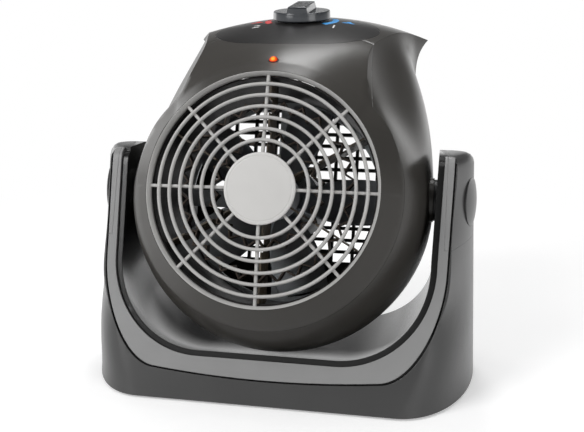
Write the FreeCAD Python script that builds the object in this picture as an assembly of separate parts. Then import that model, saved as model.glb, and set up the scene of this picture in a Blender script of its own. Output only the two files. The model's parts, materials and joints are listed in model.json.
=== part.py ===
import FreeCAD, Part
import math
import os
from collections import namedtuple
from FreeCAD import Vector

# Units are millimetres, +Z is up and the heater faces -Y.

# Stand, a hollow yoke with two arms
STAND_HALF_WIDTH = 136.5
STAND_HALF_DEPTH = 75.6
STAND_BOTTOM = 1.8
ARM_TOP = 159.5
ARM_TOP_EASE = 7.0
FACE_LEAN = 0.35
SIDE_LEAN = 0.047
FACE_EDGE_LOW = 84.0
FACE_EDGE_HIGH = 115.6
FACE_EDGE_HEIGHT = 75.0
FACE_EDGE_SPREAD = 0.032
FACE_EDGE_TURN = 66.0
SIDE_CREST = 16.0
QUARTER_BOW = 0.5523
STAND_WALL = 2.6
CHANNEL_RADIUS = 113.5
CHANNEL_HALF_WIDTH = 104.2
CHANNEL_CORNER = 58.0
ARM_DRAFT = 0.03
ARM_DRAFT_START = 95.0
CAP_SPLIT_X = 112.0
CAP_BOTTOM = 103.0
SEAM = 0.15
CAP_SEAM = 0.06

# Light trim on the leaning front face of the stand
BAND_CREST = 4.5
BAND_DEPTH = 1.6
BAND_PROUD = 0.4
BAND_GROOVE = 1.2
BAND_EDGE = 4.1

# Base closure
PLATE_THICKNESS = 2.5
FOOT_RADIUS = 10.0
FOOT_X = 100.0
FOOT_Y = 48.0
BASE_POST_X = 90.0
BASE_POST_INSET = 9.5
BASE_POST_RADIUS = 4.5
BASE_POST_TOP = 22.0

# Tilting joint
PIVOT_Y = -15.7
PIVOT_Z = 127.0
HEAD_TILT = 17.7
PIN_RADIUS = 6.0
BUSH_RADIUS = 8.0
RUNNING_CLEARANCE = 0.06
SEAT_CLEARANCE = 0.02
PIVOT_PAD_RADIUS = 15.0
HEAD_PAD_FACE = 103.6
ARM_PAD_FACE = 106.4
ARM_PAD_END = 113.2
FACE_GAP = 0.25
DOME_RADIUS = 16.5
DOME_RISE = 2.2

# Head, measured from the middle of the front opening
PIVOT_BACK = 73.2
PIVOT_UP = 4.5
HEAD_DEPTH = 155.0
HEAD_WALL = 2.8
HEAD_SWING_RADIUS = 109.0
OPENING_RADIUS = 73.8
SPOKE_END_BACK = 2.4
PARTING_BACK = 15.0
PARTING_UP = 55.0
PARTING_SLOPE = 1.22

# Front grille
GRILLE_RINGS = 6
GRILLE_FIRST_RADIUS = 30.1
GRILLE_PITCH = 7.12
GRILLE_BAR = 2.3
GRILLE_BAR_DEPTH = 3.0
GRILLE_BOW = 4.0
GRILLE_SPOKES = 8
GRILLE_RIM_WIDTH = 2.5
GRILLE_RIM_RADIUS = 73.5
GRILLE_RIM_PROUD = 0.3
GRILLE_RIM_DEPTH = 5.4
DISC_RADIUS = 22.4
DISC_THICKNESS = 1.8

# Air path
DUCT_RADIUS = 70.4
DUCT_SHEET = 0.9
DUCT_END = 78.0
FLANGE_RADIUS = 83.0
POST_RADIUS = 3.6
POST_CIRCLE = 78.8
BRACKET_THICKNESS = 2.0
BRACKET_ARM = 12.0
MOTOR_RADIUS = 25.0
MOTOR_LENGTH = 36.0
SHAFT_RADIUS = 3.0
FAN_RADIUS = 66.5
FAN_HUB_RADIUS = 15.0
FAN_FRONT = 52.0
FAN_HUB_LENGTH = 20.0
FAN_BLADES = 5
FAN_SHEET = 1.6

# Heater
MICA_FRONT = 12.0
MICA_BACK = 34.0
MICA_SHEET = 1.0
MICA_PLATES = 3
RIBBON_RADII = (34.0, 54.0)
RIBBON_FOLD = 3.2
RIBBON_SHEET = 0.6
RIBBON_WIDTH = 7.0
RIBBON_FOLDS_PER_MM = 0.17

# Rear grille
REAR_PLATE = 3.0
SLOT_WIDTH = 14.0
SLOT_HEIGHT = 6.6
SLOT_PITCH_X = 16.6
SLOT_PITCH_Z = 9.3
SLOT_COLUMNS = 11
SLOT_ROWS = 22
SLOT_MARGIN = 8.0
REAR_SCREW_UPPER = (80.0, 38.0)
REAR_SCREW_LOWER = (66.0, -34.0)
GLAND_UP = -47.0
GLAND_BORE = 3.6
GLAND_RADIUS = 6.5
GLAND_FLANGE = 9.5

# Controls
PANEL_FROM_REAR = 70.5
PANEL_CENTRE_BACK = HEAD_DEPTH - PANEL_FROM_REAR
PANEL_HALF_WIDTH = 60.0
PANEL_HALF_LENGTH = 54.0
PANEL_THICKNESS = 1.6
PANEL_SEAM = 0.3
KNOB_FROM_REAR = 52.0
KNOB_BACK = HEAD_DEPTH - KNOB_FROM_REAR
KNOB_RADIUS = 21.5
KNOB_BASE = 6.5
KNOB_GRIP = 6.6
KNOB_GRIP_WIDTH = 18.0
KNOB_LIFT = 0.7
SWITCH_SIZE = 30.0
SWITCH_DEPTH = 16.0
SWITCH_DROP = 8.0
LENS_BACK = 15.0
LENS_RADIUS = 2.9
LENS_RISE = 2.2

# Fasteners
SCREW_RADIUS = 1.6
SCREW_HEAD_RADIUS = 3.3
SCREW_HEAD = 2.0

X_AXIS = Vector(1, 0, 0)
Y_AXIS = Vector(0, 1, 0)
Z_AXIS = Vector(0, 0, 1)
SIDES = (("left", -1), ("right", 1))

# One cross section of the head: half width at the axis, two points on the
# side wall, the upper corner and the crown, each as (across, up).
Station = namedtuple("Station", "back side knee waist corner crown")
HEAD_STATIONS = (
    Station(0.0, OPENING_RADIUS, (69.4, 25.3), (61.9, 40.2), (56.5, 47.4), OPENING_RADIUS),
    Station(13.5, 86.0, (80.6, 30.0), (70.5, 48.0), (60.5, 58.0), 83.0),
    Station(34.0, 95.0, (87.0, 33.0), (73.0, 57.0), (58.0, 86.0), 99.0),
    Station(54.0, 100.0, (93.5, 34.0), (78.0, 64.0), (58.5, 104.5), 112.0),
    Station(76.0, 102.5, (98.0, 43.0), (83.5, 78.0), (64.0, 117.0), 125.0),
    Station(100.0, 103.0, (99.0, 52.0), (87.5, 92.0), (70.5, 128.0), 138.0),
    Station(128.0, 100.5, (97.0, 55.0), (86.5, 98.0), (80.5, 136.0), 149.5),
    Station(HEAD_DEPTH, 93.0, (90.5, 57.0), (84.5, 104.0), (92.5, 139.5), 158.5),
)


def box(x0, x1, y0, y1, z0, z1):
    return Part.makeBox(x1 - x0, y1 - y0, z1 - z0, Vector(x0, y0, z0))


def rod(start, axis, radius, length):
    return Part.makeCylinder(radius, length, start, axis)


def tube(start, axis, outer, inner, length):
    return rod(start, axis, outer, length).cut(rod(start, axis, inner, length))


def polygon_wire(points):
    return Part.makePolygon([Vector(*p) for p in points] + [Vector(*points[0])])


def prism(points, direction):
    return Part.Face(polygon_wire(points)).extrude(direction)


def fuse_all(shapes):
    return shapes[0].multiFuse(shapes[1:]).removeSplitter()


def bernstein(t):
    return [math.comb(4, k) * t ** k * (1.0 - t) ** (4 - k) for k in range(5)]


def side_edge(start, knee, waist, end):
    """A quartic curve that leaves start upwards and passes through knee and waist."""
    rise = Vector(start.x, start.y, start.z + 0.8 * (knee.z - start.z))
    poles = [start, rise, None, None, end]
    a, b = bernstein(1.0 / 3.0), bernstein(2.0 / 3.0)
    first = knee - poles[0] * a[0] - poles[1] * a[1] - poles[4] * a[4]
    second = waist - poles[0] * b[0] - poles[1] * b[1] - poles[4] * b[4]
    area = a[2] * b[3] - a[3] * b[2]
    poles[2] = (first * b[3] - second * a[3]) * (1.0 / area)
    poles[3] = (second * a[2] - first * b[2]) * (1.0 / area)
    return poles


def bezier(poles):
    curve = Part.BezierCurve()
    curve.setPoles(poles)
    return curve.toShape()


def screw(head_face, axis, length):
    """A pan-head screw whose head rests on head_face and whose shank runs along axis."""
    head = rod(head_face, axis * -1, SCREW_HEAD_RADIUS, SCREW_HEAD)
    shank = rod(head_face - axis * 0.5, axis, SCREW_RADIUS, length + 0.5)
    slot = Part.makeBox(0.8, 0.8, 0.8, Vector(-0.4, -0.4, -0.4))
    slot.Placement = FreeCAD.Placement(head_face - axis * SCREW_HEAD, FreeCAD.Rotation(Z_AXIS, axis))
    return head.fuse(shank).cut(slot)


# Stand

def face_y(z):
    return STAND_HALF_DEPTH - FACE_LEAN * z


def stand_section(z, inset):
    """The plan of the stand: flat front and back, and sides that bow out to a crest."""
    half_x = STAND_HALF_WIDTH - SIDE_LEAN * z - inset
    half_y = face_y(z) - inset
    share = min(1.0, max(z, 0.0) / FACE_EDGE_HEIGHT)
    flat = FACE_EDGE_LOW + (FACE_EDGE_HIGH - FACE_EDGE_LOW) * share ** 0.8
    flat += FACE_EDGE_SPREAD * max(0.0, z - FACE_EDGE_HEIGHT) - 0.8 * inset
    width = half_x - flat
    crest = min(SIDE_CREST, 0.45 * half_y)
    front, rear = half_y + crest, half_y - crest
    turned = share ** 2
    angle = math.radians(FACE_EDGE_TURN) * turned
    first = (1.0 - turned) * QUARTER_BOW * width + turned * 0.35 * front
    last = ((1.0 - turned) * QUARTER_BOW + turned * 0.3) * front
    ahead = [
        (flat, -half_y),
        (flat + first * math.cos(angle), first * math.sin(angle) - half_y),
        (half_x, crest - last),
        (half_x, crest),
    ]
    behind = [
        (half_x, crest),
        (half_x, crest + QUARTER_BOW * rear),
        (flat + QUARTER_BOW * width, half_y),
        (flat, half_y),
    ]

    def at(x, y):
        return Vector(x, PIVOT_Y + y, z)

    def side(sx, poles):
        return [at(sx * x, y) for x, y in poles]

    edges = [
        Part.makeLine(at(-flat, -half_y), at(flat, -half_y)),
        bezier(side(1, ahead)),
        bezier(side(1, behind)),
        Part.makeLine(at(flat, half_y), at(-flat, half_y)),
        bezier(side(-1, behind[::-1])),
        bezier(side(-1, ahead[::-1])),
    ]
    return Part.Wire(edges)


def stand_block(inset):
    """The outside of the stand, or the same form drawn in by a wall."""
    bottom = STAND_BOTTOM if inset <= 0 else STAND_BOTTOM - 1.0
    ease = ARM_TOP - ARM_TOP_EASE - inset
    levels = [bottom, 25.0, 50.0, 75.0, 105.0, 135.0, ease]
    body = Part.makeLoft([stand_section(z, inset) for z in levels], True, False)
    steps = []
    for angle in (0, 25, 50, 70, 85):
        rise = ARM_TOP_EASE * math.sin(math.radians(angle))
        draw = ARM_TOP_EASE * (1.0 - math.cos(math.radians(angle)))
        steps.append((ease + rise, draw))
    top = Part.makeLoft([stand_section(z, inset + draw) for z, draw in steps], True, True)
    return body.fuse(top)


def channel(grow):
    """The space between the arms: a barrel about the tilt axis, open upwards."""
    r = CHANNEL_RADIUS + grow
    half = CHANNEL_HALF_WIDTH + grow
    c = CHANNEL_CORNER + grow
    d = c * (1.0 - math.sqrt(0.5))

    def at(x, drop):
        return Vector(x, PIVOT_Y, PIVOT_Z - drop)

    edges = [
        Part.makeLine(at(-half, 0), at(-half, r - c)),
        Part.Arc(at(-half, r - c), at(-half + d, r - d), at(-half + c, r)).toShape(),
        Part.makeLine(at(-half + c, r), at(half - c, r)),
        Part.Arc(at(half - c, r), at(half - d, r - d), at(half, r - c)).toShape(),
        Part.makeLine(at(half, r - c), at(half, 0)),
        Part.makeLine(at(half, 0), at(-half, 0)),
    ]
    barrel = Part.Face(Part.Wire(edges)).revolve(at(0, 0), X_AXIS, 360)
    top = ARM_TOP + 60.0
    lower = half
    upper = half + ARM_DRAFT * (top - ARM_DRAFT_START)
    depth = STAND_HALF_DEPTH + 20.0
    front = PIVOT_Y - depth
    throat = prism(
        [
            (-lower, front, ARM_DRAFT_START),
            (lower, front, ARM_DRAFT_START),
            (upper, front, top),
            (-upper, front, top),
        ],
        Vector(0, 2 * depth, 0),
    )
    run = Part.Face(Part.Wire(edges)).extrude(Vector(0, depth, 0))
    return fuse_all([barrel, throat, run])


def band_outline(grow):
    """The outer U of the front trim, drawn in the XZ plane and closed across the top."""
    top = ARM_TOP + 4.0

    def at(x, z, side):
        return Vector(side * (x + grow), PIVOT_Y, z - grow)

    def corner(side):
        return [at(114.2, 88.0, side), at(113.3, 60.0, side), at(97.0, 23.7, side), at(75.0, 21.5, side)]

    left, right = corner(-1), corner(1)
    edges = [
        Part.makeLine(at(116.6, top, -1), left[0]),
        bezier(left),
        Part.Arc(left[3], Vector(0, PIVOT_Y, 17.7 - grow), right[3]).toShape(),
        bezier(right[::-1]),
        Part.makeLine(right[0], at(116.6, top, 1)),
        Part.makeLine(at(116.6, top, 1), at(116.6, top, -1)),
    ]
    return Part.Face(Part.Wire(edges))


def band_layer(grow, proud):
    """The skin of the stand's front inside the U, from proud of the face to the band's depth."""
    front = STAND_HALF_DEPTH + 20.0
    crest = face_y(ARM_TOP) - BAND_CREST
    outline = band_outline(grow)
    outline.translate(Vector(0, -front, 0))
    solid = outline.extrude(Vector(0, front - crest, 0))
    if proud is not None:
        solid = solid.common(stand_block(-proud))
    return solid.cut(stand_block(BAND_DEPTH))


def cap_space(side, seam):
    """The block of space that an arm cap takes up."""
    near = CAP_SPLIT_X + seam
    far = STAND_HALF_WIDTH + 20.0
    x0, x1 = (near, far) if side > 0 else (-far, -near)
    depth = STAND_HALF_DEPTH + 20.0
    return box(x0, x1, PIVOT_Y - depth, PIVOT_Y + depth, CAP_BOTTOM + seam, ARM_TOP + 20.0)


def at_pivot(x):
    return Vector(x, PIVOT_Y, PIVOT_Z)


def base_post_places():
    y = STAND_HALF_DEPTH - BASE_POST_INSET
    return [(sx * BASE_POST_X, PIVOT_Y + sy * y) for sx in (-1, 1) for sy in (-1, 1)]


def make_stand():
    outside = stand_block(0)
    space = channel(0)
    hollow = stand_block(STAND_WALL).cut(channel(STAND_WALL))
    shell = outside.cut(space).cut(hollow)
    groove = band_layer(BAND_GROOVE, None)
    plate_top = STAND_BOTTOM + PLATE_THICKNESS

    posts = []
    for x, y in base_post_places():
        foot = Vector(x, y, plate_top)
        posts.append(rod(foot, Z_AXIS, BASE_POST_RADIUS, BASE_POST_TOP - plate_top))
    trim = stand_block(1.0)
    posts = [p.common(trim).cut(channel(1.0)) for p in posts]

    pads = []
    holes = []
    for _, side in SIDES:
        axis = X_AXIS * side
        pads.append(rod(at_pivot(side * ARM_PAD_FACE), axis, PIVOT_PAD_RADIUS, ARM_PAD_END - ARM_PAD_FACE))
        holes.append(rod(at_pivot(side * 90.0), axis, PIVOT_PAD_RADIUS, ARM_PAD_FACE - 90.0))
        holes.append(rod(at_pivot(side * 90.0), axis, BUSH_RADIUS + SEAT_CLEARANCE, 30.0))
    caps = [shell.common(cap_space(side, CAP_SEAM)).cut(groove) for _, side in SIDES]
    for _, side in SIDES:
        shell = shell.cut(cap_space(side, 0.0))
    shell = fuse_all([shell] + posts + pads)
    for hole in holes:
        shell = shell.cut(hole)
    for x, y in base_post_places():
        shell = shell.cut(rod(Vector(x, y, 0), Z_AXIS, SCREW_RADIUS + SEAT_CLEARANCE, BASE_POST_TOP - 3.0))
    shell = shell.cut(groove)

    band = band_layer(0.0, BAND_PROUD).cut(channel(BAND_EDGE))
    trims = [band.common(cap_space(side, CAP_SEAM)) for _, side in SIDES]
    for _, side in SIDES:
        band = band.cut(cap_space(side, 0.0))
    parts = {"stand_shell": shell, "stand_front_band": band}
    for (name, side), cap, strip in zip(SIDES, caps, trims):
        parts["arm_cap_" + name] = cap
        parts["arm_cap_trim_" + name] = strip
    parts.update(make_base())
    parts.update(make_arm_fittings())
    return parts


def make_base():
    top = STAND_BOTTOM + PLATE_THICKNESS
    big = STAND_HALF_WIDTH * 2
    layer = box(-big, big, -big, big, STAND_BOTTOM, top)
    plate = stand_block(STAND_WALL + SEAM).common(layer)
    screws = []
    for x, y in base_post_places():
        seat = Vector(x, y, STAND_BOTTOM + 1.2)
        plate = plate.cut(rod(Vector(x, y, 0), Z_AXIS, SCREW_RADIUS + SEAT_CLEARANCE, top))
        plate = plate.cut(rod(Vector(x, y, 0), Z_AXIS, SCREW_HEAD_RADIUS + 0.2, seat.z))
        screws.append(screw(seat, Z_AXIS, BASE_POST_TOP - 6.0 - seat.z))
    feet = []
    for sx in (-1, 1):
        for sy in (-1, 1):
            centre = Vector(sx * FOOT_X, PIVOT_Y + sy * FOOT_Y, 0)
            feet.append(rod(centre, Z_AXIS, FOOT_RADIUS, STAND_BOTTOM))
    return {
        "base_plate": plate,
        "base_plate_screws": Part.makeCompound(screws),
        "rubber_feet": Part.makeCompound(feet),
    }


def arm_side_point(side):
    """Where the tilt axis leaves the side of an arm, and the way that the side faces there."""
    outside = stand_block(0)

    def reach(y, z):
        start = at_pivot(0) + Vector(0, y, z)
        line = Part.makeLine(start, start + Vector(2 * STAND_HALF_WIDTH, 0, 0))
        return max(v.X for v in line.common(outside).Vertexes)

    step = 6.0
    lean_y = (reach(step, 0) - reach(-step, 0)) / (2 * step)
    lean_z = (reach(0, step) - reach(0, -step)) / (2 * step)
    out = Vector(side, -lean_y, -lean_z)
    out.normalize()
    return at_pivot(side * reach(0, 0)), out


def make_arm_fittings():
    parts = {}
    for name, side in SIDES:
        axis = X_AXIS * side
        sleeve = rod(at_pivot(side * ARM_PAD_FACE), axis, BUSH_RADIUS, ARM_PAD_END - ARM_PAD_FACE)
        flange = rod(at_pivot(side * ARM_PAD_END), axis, BUSH_RADIUS + 3.0, 1.6)
        bore = rod(at_pivot(side * 90.0), axis, PIN_RADIUS + RUNNING_CLEARANCE, 40.0)
        parts["pivot_bush_" + name] = sleeve.fuse(flange).cut(bore)
        spot, out = arm_side_point(side)
        ball = (DOME_RADIUS ** 2 + DOME_RISE ** 2) / (2.0 * DOME_RISE)
        dome = Part.makeSphere(ball, spot + out * (DOME_RISE - ball))
        keep = rod(spot - out * 3.0, out, DOME_RADIUS, DOME_RISE + 5.0)
        dome = dome.common(keep).cut(stand_block(0))
        parts["pivot_dome_" + name] = dome
    return parts


# Head, in its own frame: x across, y back from the front opening, z up.

def head_section(station, inset, back):
    s = station.side - inset
    reach = HEAD_SWING_RADIUS - inset
    offset = min(abs(station.back - PIVOT_BACK), reach - 1.0)
    low = -PIVOT_UP + math.sqrt(reach ** 2 - offset ** 2)
    if station.back == 0.0:
        low = s
    cx, cz = station.corner[0] - inset, station.corner[1] - 0.6 * inset
    crown = station.crown - inset

    def at(x, z):
        return Vector(x, back, z)

    half_round = Part.Arc(Vector(-1, 0, 0), Vector(0, 0, -1), Vector(1, 0, 0)).toShape()
    stretch = FreeCAD.Matrix(s, 0, 0, 0, 0, 1, 0, back, 0, 0, low, 0, 0, 0, 0, 1)
    waist = at(station.waist[0] - inset, station.waist[1])
    knee = at(station.knee[0] - inset, station.knee[1])
    right = side_edge(at(s, 0), knee, waist, at(cx, cz))
    left = [Vector(-p.x, p.y, p.z) for p in reversed(right)]
    edges = [
        half_round.transformGeometry(stretch),
        bezier(right),
        Part.Arc(at(cx, cz), at(0, crown), at(-cx, cz)).toShape(),
        bezier(left),
    ]
    return Part.Wire(edges)


def head_block(inset):
    """The outside of the head, or the same form drawn in and run past both ends."""
    past = 0.0 if inset == 0 else 0.6
    wires = []
    for station in HEAD_STATIONS:
        back = station.back
        if station is HEAD_STATIONS[0]:
            back -= past
        if station is HEAD_STATIONS[-1]:
            back += past
        wires.append(head_section(station, inset, back))
    front = Part.makeLoft(wires[:2], True, True)
    return front.fuse(Part.makeLoft(wires[1:], True, False))


def crown_point(outside, back):
    """The point of the head's upper surface above the axis, and the slope there."""
    heights = []
    for step in (-4.0, 0.0, 4.0):
        line = Part.makeLine(Vector(0, back + step, 40), Vector(0, back + step, 200))
        heights.append(max(v.Z for v in line.common(outside).Vertexes))
    slope = math.atan2(heights[2] - heights[0], 8.0)
    return Vector(0, back, heights[1]), Vector(0, -math.sin(slope), math.cos(slope))


def ellipse_prism(centre, normal, half_x, half_y, reach):
    ellipse = Part.Ellipse(Vector(0, 0, 0), max(half_x, half_y + 0.01), half_y)
    solid = Part.Face(Part.Wire([ellipse.toShape()])).extrude(Vector(0, 0, 2 * reach))
    solid.translate(Vector(0, 0, -reach))
    turn = FreeCAD.Rotation(Z_AXIS, normal)
    solid.Placement = FreeCAD.Placement(centre, turn).multiply(solid.Placement)
    return solid


def post_places():
    return [
        (POST_CIRCLE * math.cos(math.radians(a)), POST_CIRCLE * math.sin(math.radians(a)))
        for a in (45, 135, 225, 315)
    ]


def rear_screw_places():
    upper, lower = REAR_SCREW_UPPER, REAR_SCREW_LOWER
    return [(sx * x, z) for sx in (-1, 1) for x, z in (upper, lower)]


def make_housing():
    outside = head_block(0)
    inside = head_block(HEAD_WALL)
    wall = outside.cut(inside)
    wide = 2 * STAND_HALF_WIDTH
    high = 200.0
    front_part = prism(
        [
            (-wide, -20, -high),
            (-wide, PARTING_BACK, -high),
            (-wide, PARTING_BACK, PARTING_UP),
            (-wide, PARTING_BACK + (high - PARTING_UP) / PARTING_SLOPE, high),
            (-wide, -20, high),
        ],
        Vector(2 * wide, 0, 0),
    )
    bezel = wall.common(front_part)
    shell = wall.cut(front_part)

    posts = []
    flange_face = DUCT_END - DUCT_SHEET
    for x, z in post_places():
        post = rod(Vector(x, 4.0, z), Y_AXIS, POST_RADIUS, flange_face - 4.0)
        posts.append(post.common(outside))
    bezel = fuse_all([bezel] + posts)
    opening = rod(Vector(0, -1, 0), Y_AXIS, GRILLE_RIM_RADIUS + SEAT_CLEARANCE, 1.0 + GRILLE_RIM_DEPTH)
    bezel = bezel.cut(opening)
    for x, z in post_places():
        bezel = bezel.cut(rod(Vector(x, flange_face - 12.0, z), Y_AXIS, SCREW_RADIUS + SEAT_CLEARANCE, 13.0))

    lugs = []
    inner_form = head_block(1.0)
    rear_face = HEAD_DEPTH - REAR_PLATE - SEAM
    for x, z in rear_screw_places():
        reach = (x - math.copysign(6.0, x), math.copysign(120.0, x))
        lug = box(min(reach), max(reach), rear_face - 16.0, rear_face, z - 5.0, z + 5.0)
        lugs.append(lug.common(inner_form))
    pads = []
    for _, side in SIDES:
        start = Vector(side * (HEAD_PAD_FACE - 8.0), PIVOT_BACK, PIVOT_UP)
        pads.append(rod(start, X_AXIS * side, PIVOT_PAD_RADIUS, 8.0))
    shell = fuse_all([shell] + lugs + pads)
    for x, z in rear_screw_places():
        shell = shell.cut(rod(Vector(x, rear_face - 12.0, z), Y_AXIS, SCREW_RADIUS + SEAT_CLEARANCE, 14.0))
    for _, side in SIDES:
        start = Vector(side * 80.0, PIVOT_BACK, PIVOT_UP)
        shell = shell.cut(rod(start, X_AXIS * side, PIN_RADIUS + SEAT_CLEARANCE, 40.0))

    centre, normal = crown_point(outside, PANEL_CENTRE_BACK)
    skin = outside.cut(head_block(PANEL_THICKNESS))
    recess = skin.common(ellipse_prism(centre, normal, PANEL_HALF_WIDTH, PANEL_HALF_LENGTH, 30.0))
    panel = skin.common(
        ellipse_prism(centre, normal, PANEL_HALF_WIDTH - PANEL_SEAM, PANEL_HALF_LENGTH - PANEL_SEAM, 30.0)
    )
    bezel = bezel.cut(recess)
    shell = shell.cut(recess)
    return outside, bezel, shell, panel


def make_controls(outside, shell, panel, bezel):
    parts = {}
    seat, up = crown_point(outside, KNOB_BACK)
    down = up * -1
    bush_radius = 5.0
    pad = rod(seat + down * SWITCH_DROP, up, 18.0, SWITCH_DROP - PANEL_THICKNESS - 0.6)
    bush_hole = rod(seat + down * 30.0, up, bush_radius + SEAT_CLEARANCE, 60.0)
    shell = shell.fuse(pad).removeSplitter().cut(bush_hole)
    panel = panel.cut(bush_hole)

    turn = FreeCAD.Rotation(Z_AXIS, up)
    body = box(-SWITCH_SIZE / 2, SWITCH_SIZE / 2, -SWITCH_SIZE / 2, SWITCH_SIZE / 2, -SWITCH_DEPTH, 0)
    bush = rod(Vector(0, 0, -1), Z_AXIS, bush_radius, SWITCH_DROP + 0.8)
    bore = rod(Vector(0, 0, -12), Z_AXIS, SHAFT_RADIUS + RUNNING_CLEARANCE, 40.0)
    tabs = [box(x - 1.2, x + 1.2, -4, 4, -SWITCH_DEPTH - 6, -SWITCH_DEPTH) for x in (-9, 0, 9)]
    switch = fuse_all([body, bush] + tabs).cut(bore)
    switch.Placement = FreeCAD.Placement(seat + down * SWITCH_DROP, turn)
    parts["rotary_switch"] = switch

    base = Part.makeCone(KNOB_RADIUS, KNOB_RADIUS - 0.9, KNOB_BASE - 1.2, Vector(0, 0, 0))
    shoulder = Part.makeCone(KNOB_RADIUS - 0.9, KNOB_RADIUS - 2.4, 1.2, Vector(0, 0, KNOB_BASE - 1.2))
    half, top = KNOB_GRIP_WIDTH / 2, KNOB_GRIP_WIDTH / 2 - 1.4
    high = KNOB_BASE + KNOB_GRIP
    grip = prism(
        [
            (-half, -KNOB_RADIUS, KNOB_BASE - 3),
            (half, -KNOB_RADIUS, KNOB_BASE - 3),
            (top, -KNOB_RADIUS, high - 0.8),
            (top - 1.2, -KNOB_RADIUS, high),
            (-top + 1.2, -KNOB_RADIUS, high),
            (-top, -KNOB_RADIUS, high - 0.8),
        ],
        Vector(0, 2 * KNOB_RADIUS, 0),
    )
    grip = grip.common(Part.makeCone(KNOB_RADIUS, KNOB_RADIUS - 1.6, high, Vector(0, 0, 0)))
    blind = rod(Vector(0, 0, 0), Z_AXIS, SHAFT_RADIUS + SEAT_CLEARANCE, 10.5)
    relief = rod(Vector(0, 0, 0), Z_AXIS, bush_radius + 1.0, 1.5)
    knob = fuse_all([base, shoulder, grip]).cut(blind).cut(relief)
    knob.Placement = FreeCAD.Placement(seat + up * KNOB_LIFT, turn)
    tail = SWITCH_DROP + 11.0
    shaft = rod(Vector(0, 0, -tail), Z_AXIS, SHAFT_RADIUS, tail + KNOB_LIFT + 10.0)
    shaft.Placement = FreeCAD.Placement(seat, turn)
    parts["selector_knob"] = knob
    parts["selector_shaft"] = shaft

    spot, out = crown_point(outside, LENS_BACK)
    hole = rod(spot + out * -15.0, out, LENS_RADIUS + SEAT_CLEARANCE, 30.0)
    bezel = bezel.cut(hole)
    stem = rod(spot + out * -5.0, out, LENS_RADIUS, 5.2)
    ball = (LENS_RADIUS ** 2 + LENS_RISE ** 2) / (2.0 * LENS_RISE)
    dome = Part.makeSphere(ball, spot + out * (0.2 + LENS_RISE - ball))
    dome = dome.common(rod(spot + out * 0.2, out, LENS_RADIUS, LENS_RISE + 1.0))
    parts["indicator_lens"] = stem.fuse(dome).removeSplitter()
    parts["indicator_lamp"] = rod(spot + out * -11.0, out, LENS_RADIUS - 0.4, 6.0)
    parts["control_panel"] = panel
    parts["head_shell"] = shell
    parts["front_bezel"] = bezel
    return parts


def grille_face(radius):
    """How far back the front of the grille lies at a radius."""
    last = GRILLE_FIRST_RADIUS + GRILLE_PITCH * (GRILLE_RINGS - 1)
    return -GRILLE_BOW * (1.0 - (radius / last) ** 2)


def make_front_grille():
    pieces = []
    half = GRILLE_BAR / 2
    for k in range(GRILLE_RINGS):
        r = GRILLE_FIRST_RADIUS + GRILLE_PITCH * k
        y = grille_face(r)
        a, b = Vector(r - half, y + half, 0), Vector(r + half, y + half, 0)
        c, d = Vector(r + half, y + GRILLE_BAR_DEPTH, 0), Vector(r - half, y + GRILLE_BAR_DEPTH, 0)
        edges = [
            Part.Arc(a, Vector(r, y, 0), b).toShape(),
            Part.makeLine(b, c),
            Part.makeLine(c, d),
            Part.makeLine(d, a),
        ]
        pieces.append(Part.Face(Part.Wire(edges)).revolve(Vector(0, 0, 0), Y_AXIS, 360))
    rim_inner = GRILLE_RIM_RADIUS - GRILLE_RIM_WIDTH
    rim_face = Vector(0, -GRILLE_RIM_PROUD, 0)
    pieces.append(tube(rim_face, Y_AXIS, GRILLE_RIM_RADIUS, rim_inner, GRILLE_RIM_DEPTH))
    hub_face = grille_face(DISC_RADIUS) + DISC_THICKNESS
    pieces.append(rod(Vector(0, hub_face, 0), Y_AXIS, DISC_RADIUS - 1.0, GRILLE_BAR_DEPTH))
    inner, outer = DISC_RADIUS - 4.0, rim_inner + 0.8
    spoke_half = 1.0
    for k in range(GRILLE_SPOKES):
        y0 = grille_face(DISC_RADIUS) + DISC_THICKNESS + 0.2
        y1 = SPOKE_END_BACK + 0.2
        spoke = prism(
            [
                (inner, y0, -spoke_half),
                (outer, y1, -spoke_half),
                (outer, y1 + GRILLE_BAR_DEPTH - 0.6, -spoke_half),
                (inner, y0 + GRILLE_BAR_DEPTH, -spoke_half),
            ],
            Vector(0, 0, 2 * spoke_half),
        )
        spoke.rotate(Vector(0, 0, 0), Y_AXIS, 360.0 * k / GRILLE_SPOKES)
        pieces.append(spoke)
    disc = rod(Vector(0, grille_face(DISC_RADIUS), 0), Y_AXIS, DISC_RADIUS, DISC_THICKNESS)
    return {"front_grille": fuse_all(pieces), "grille_disc": disc}


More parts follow.
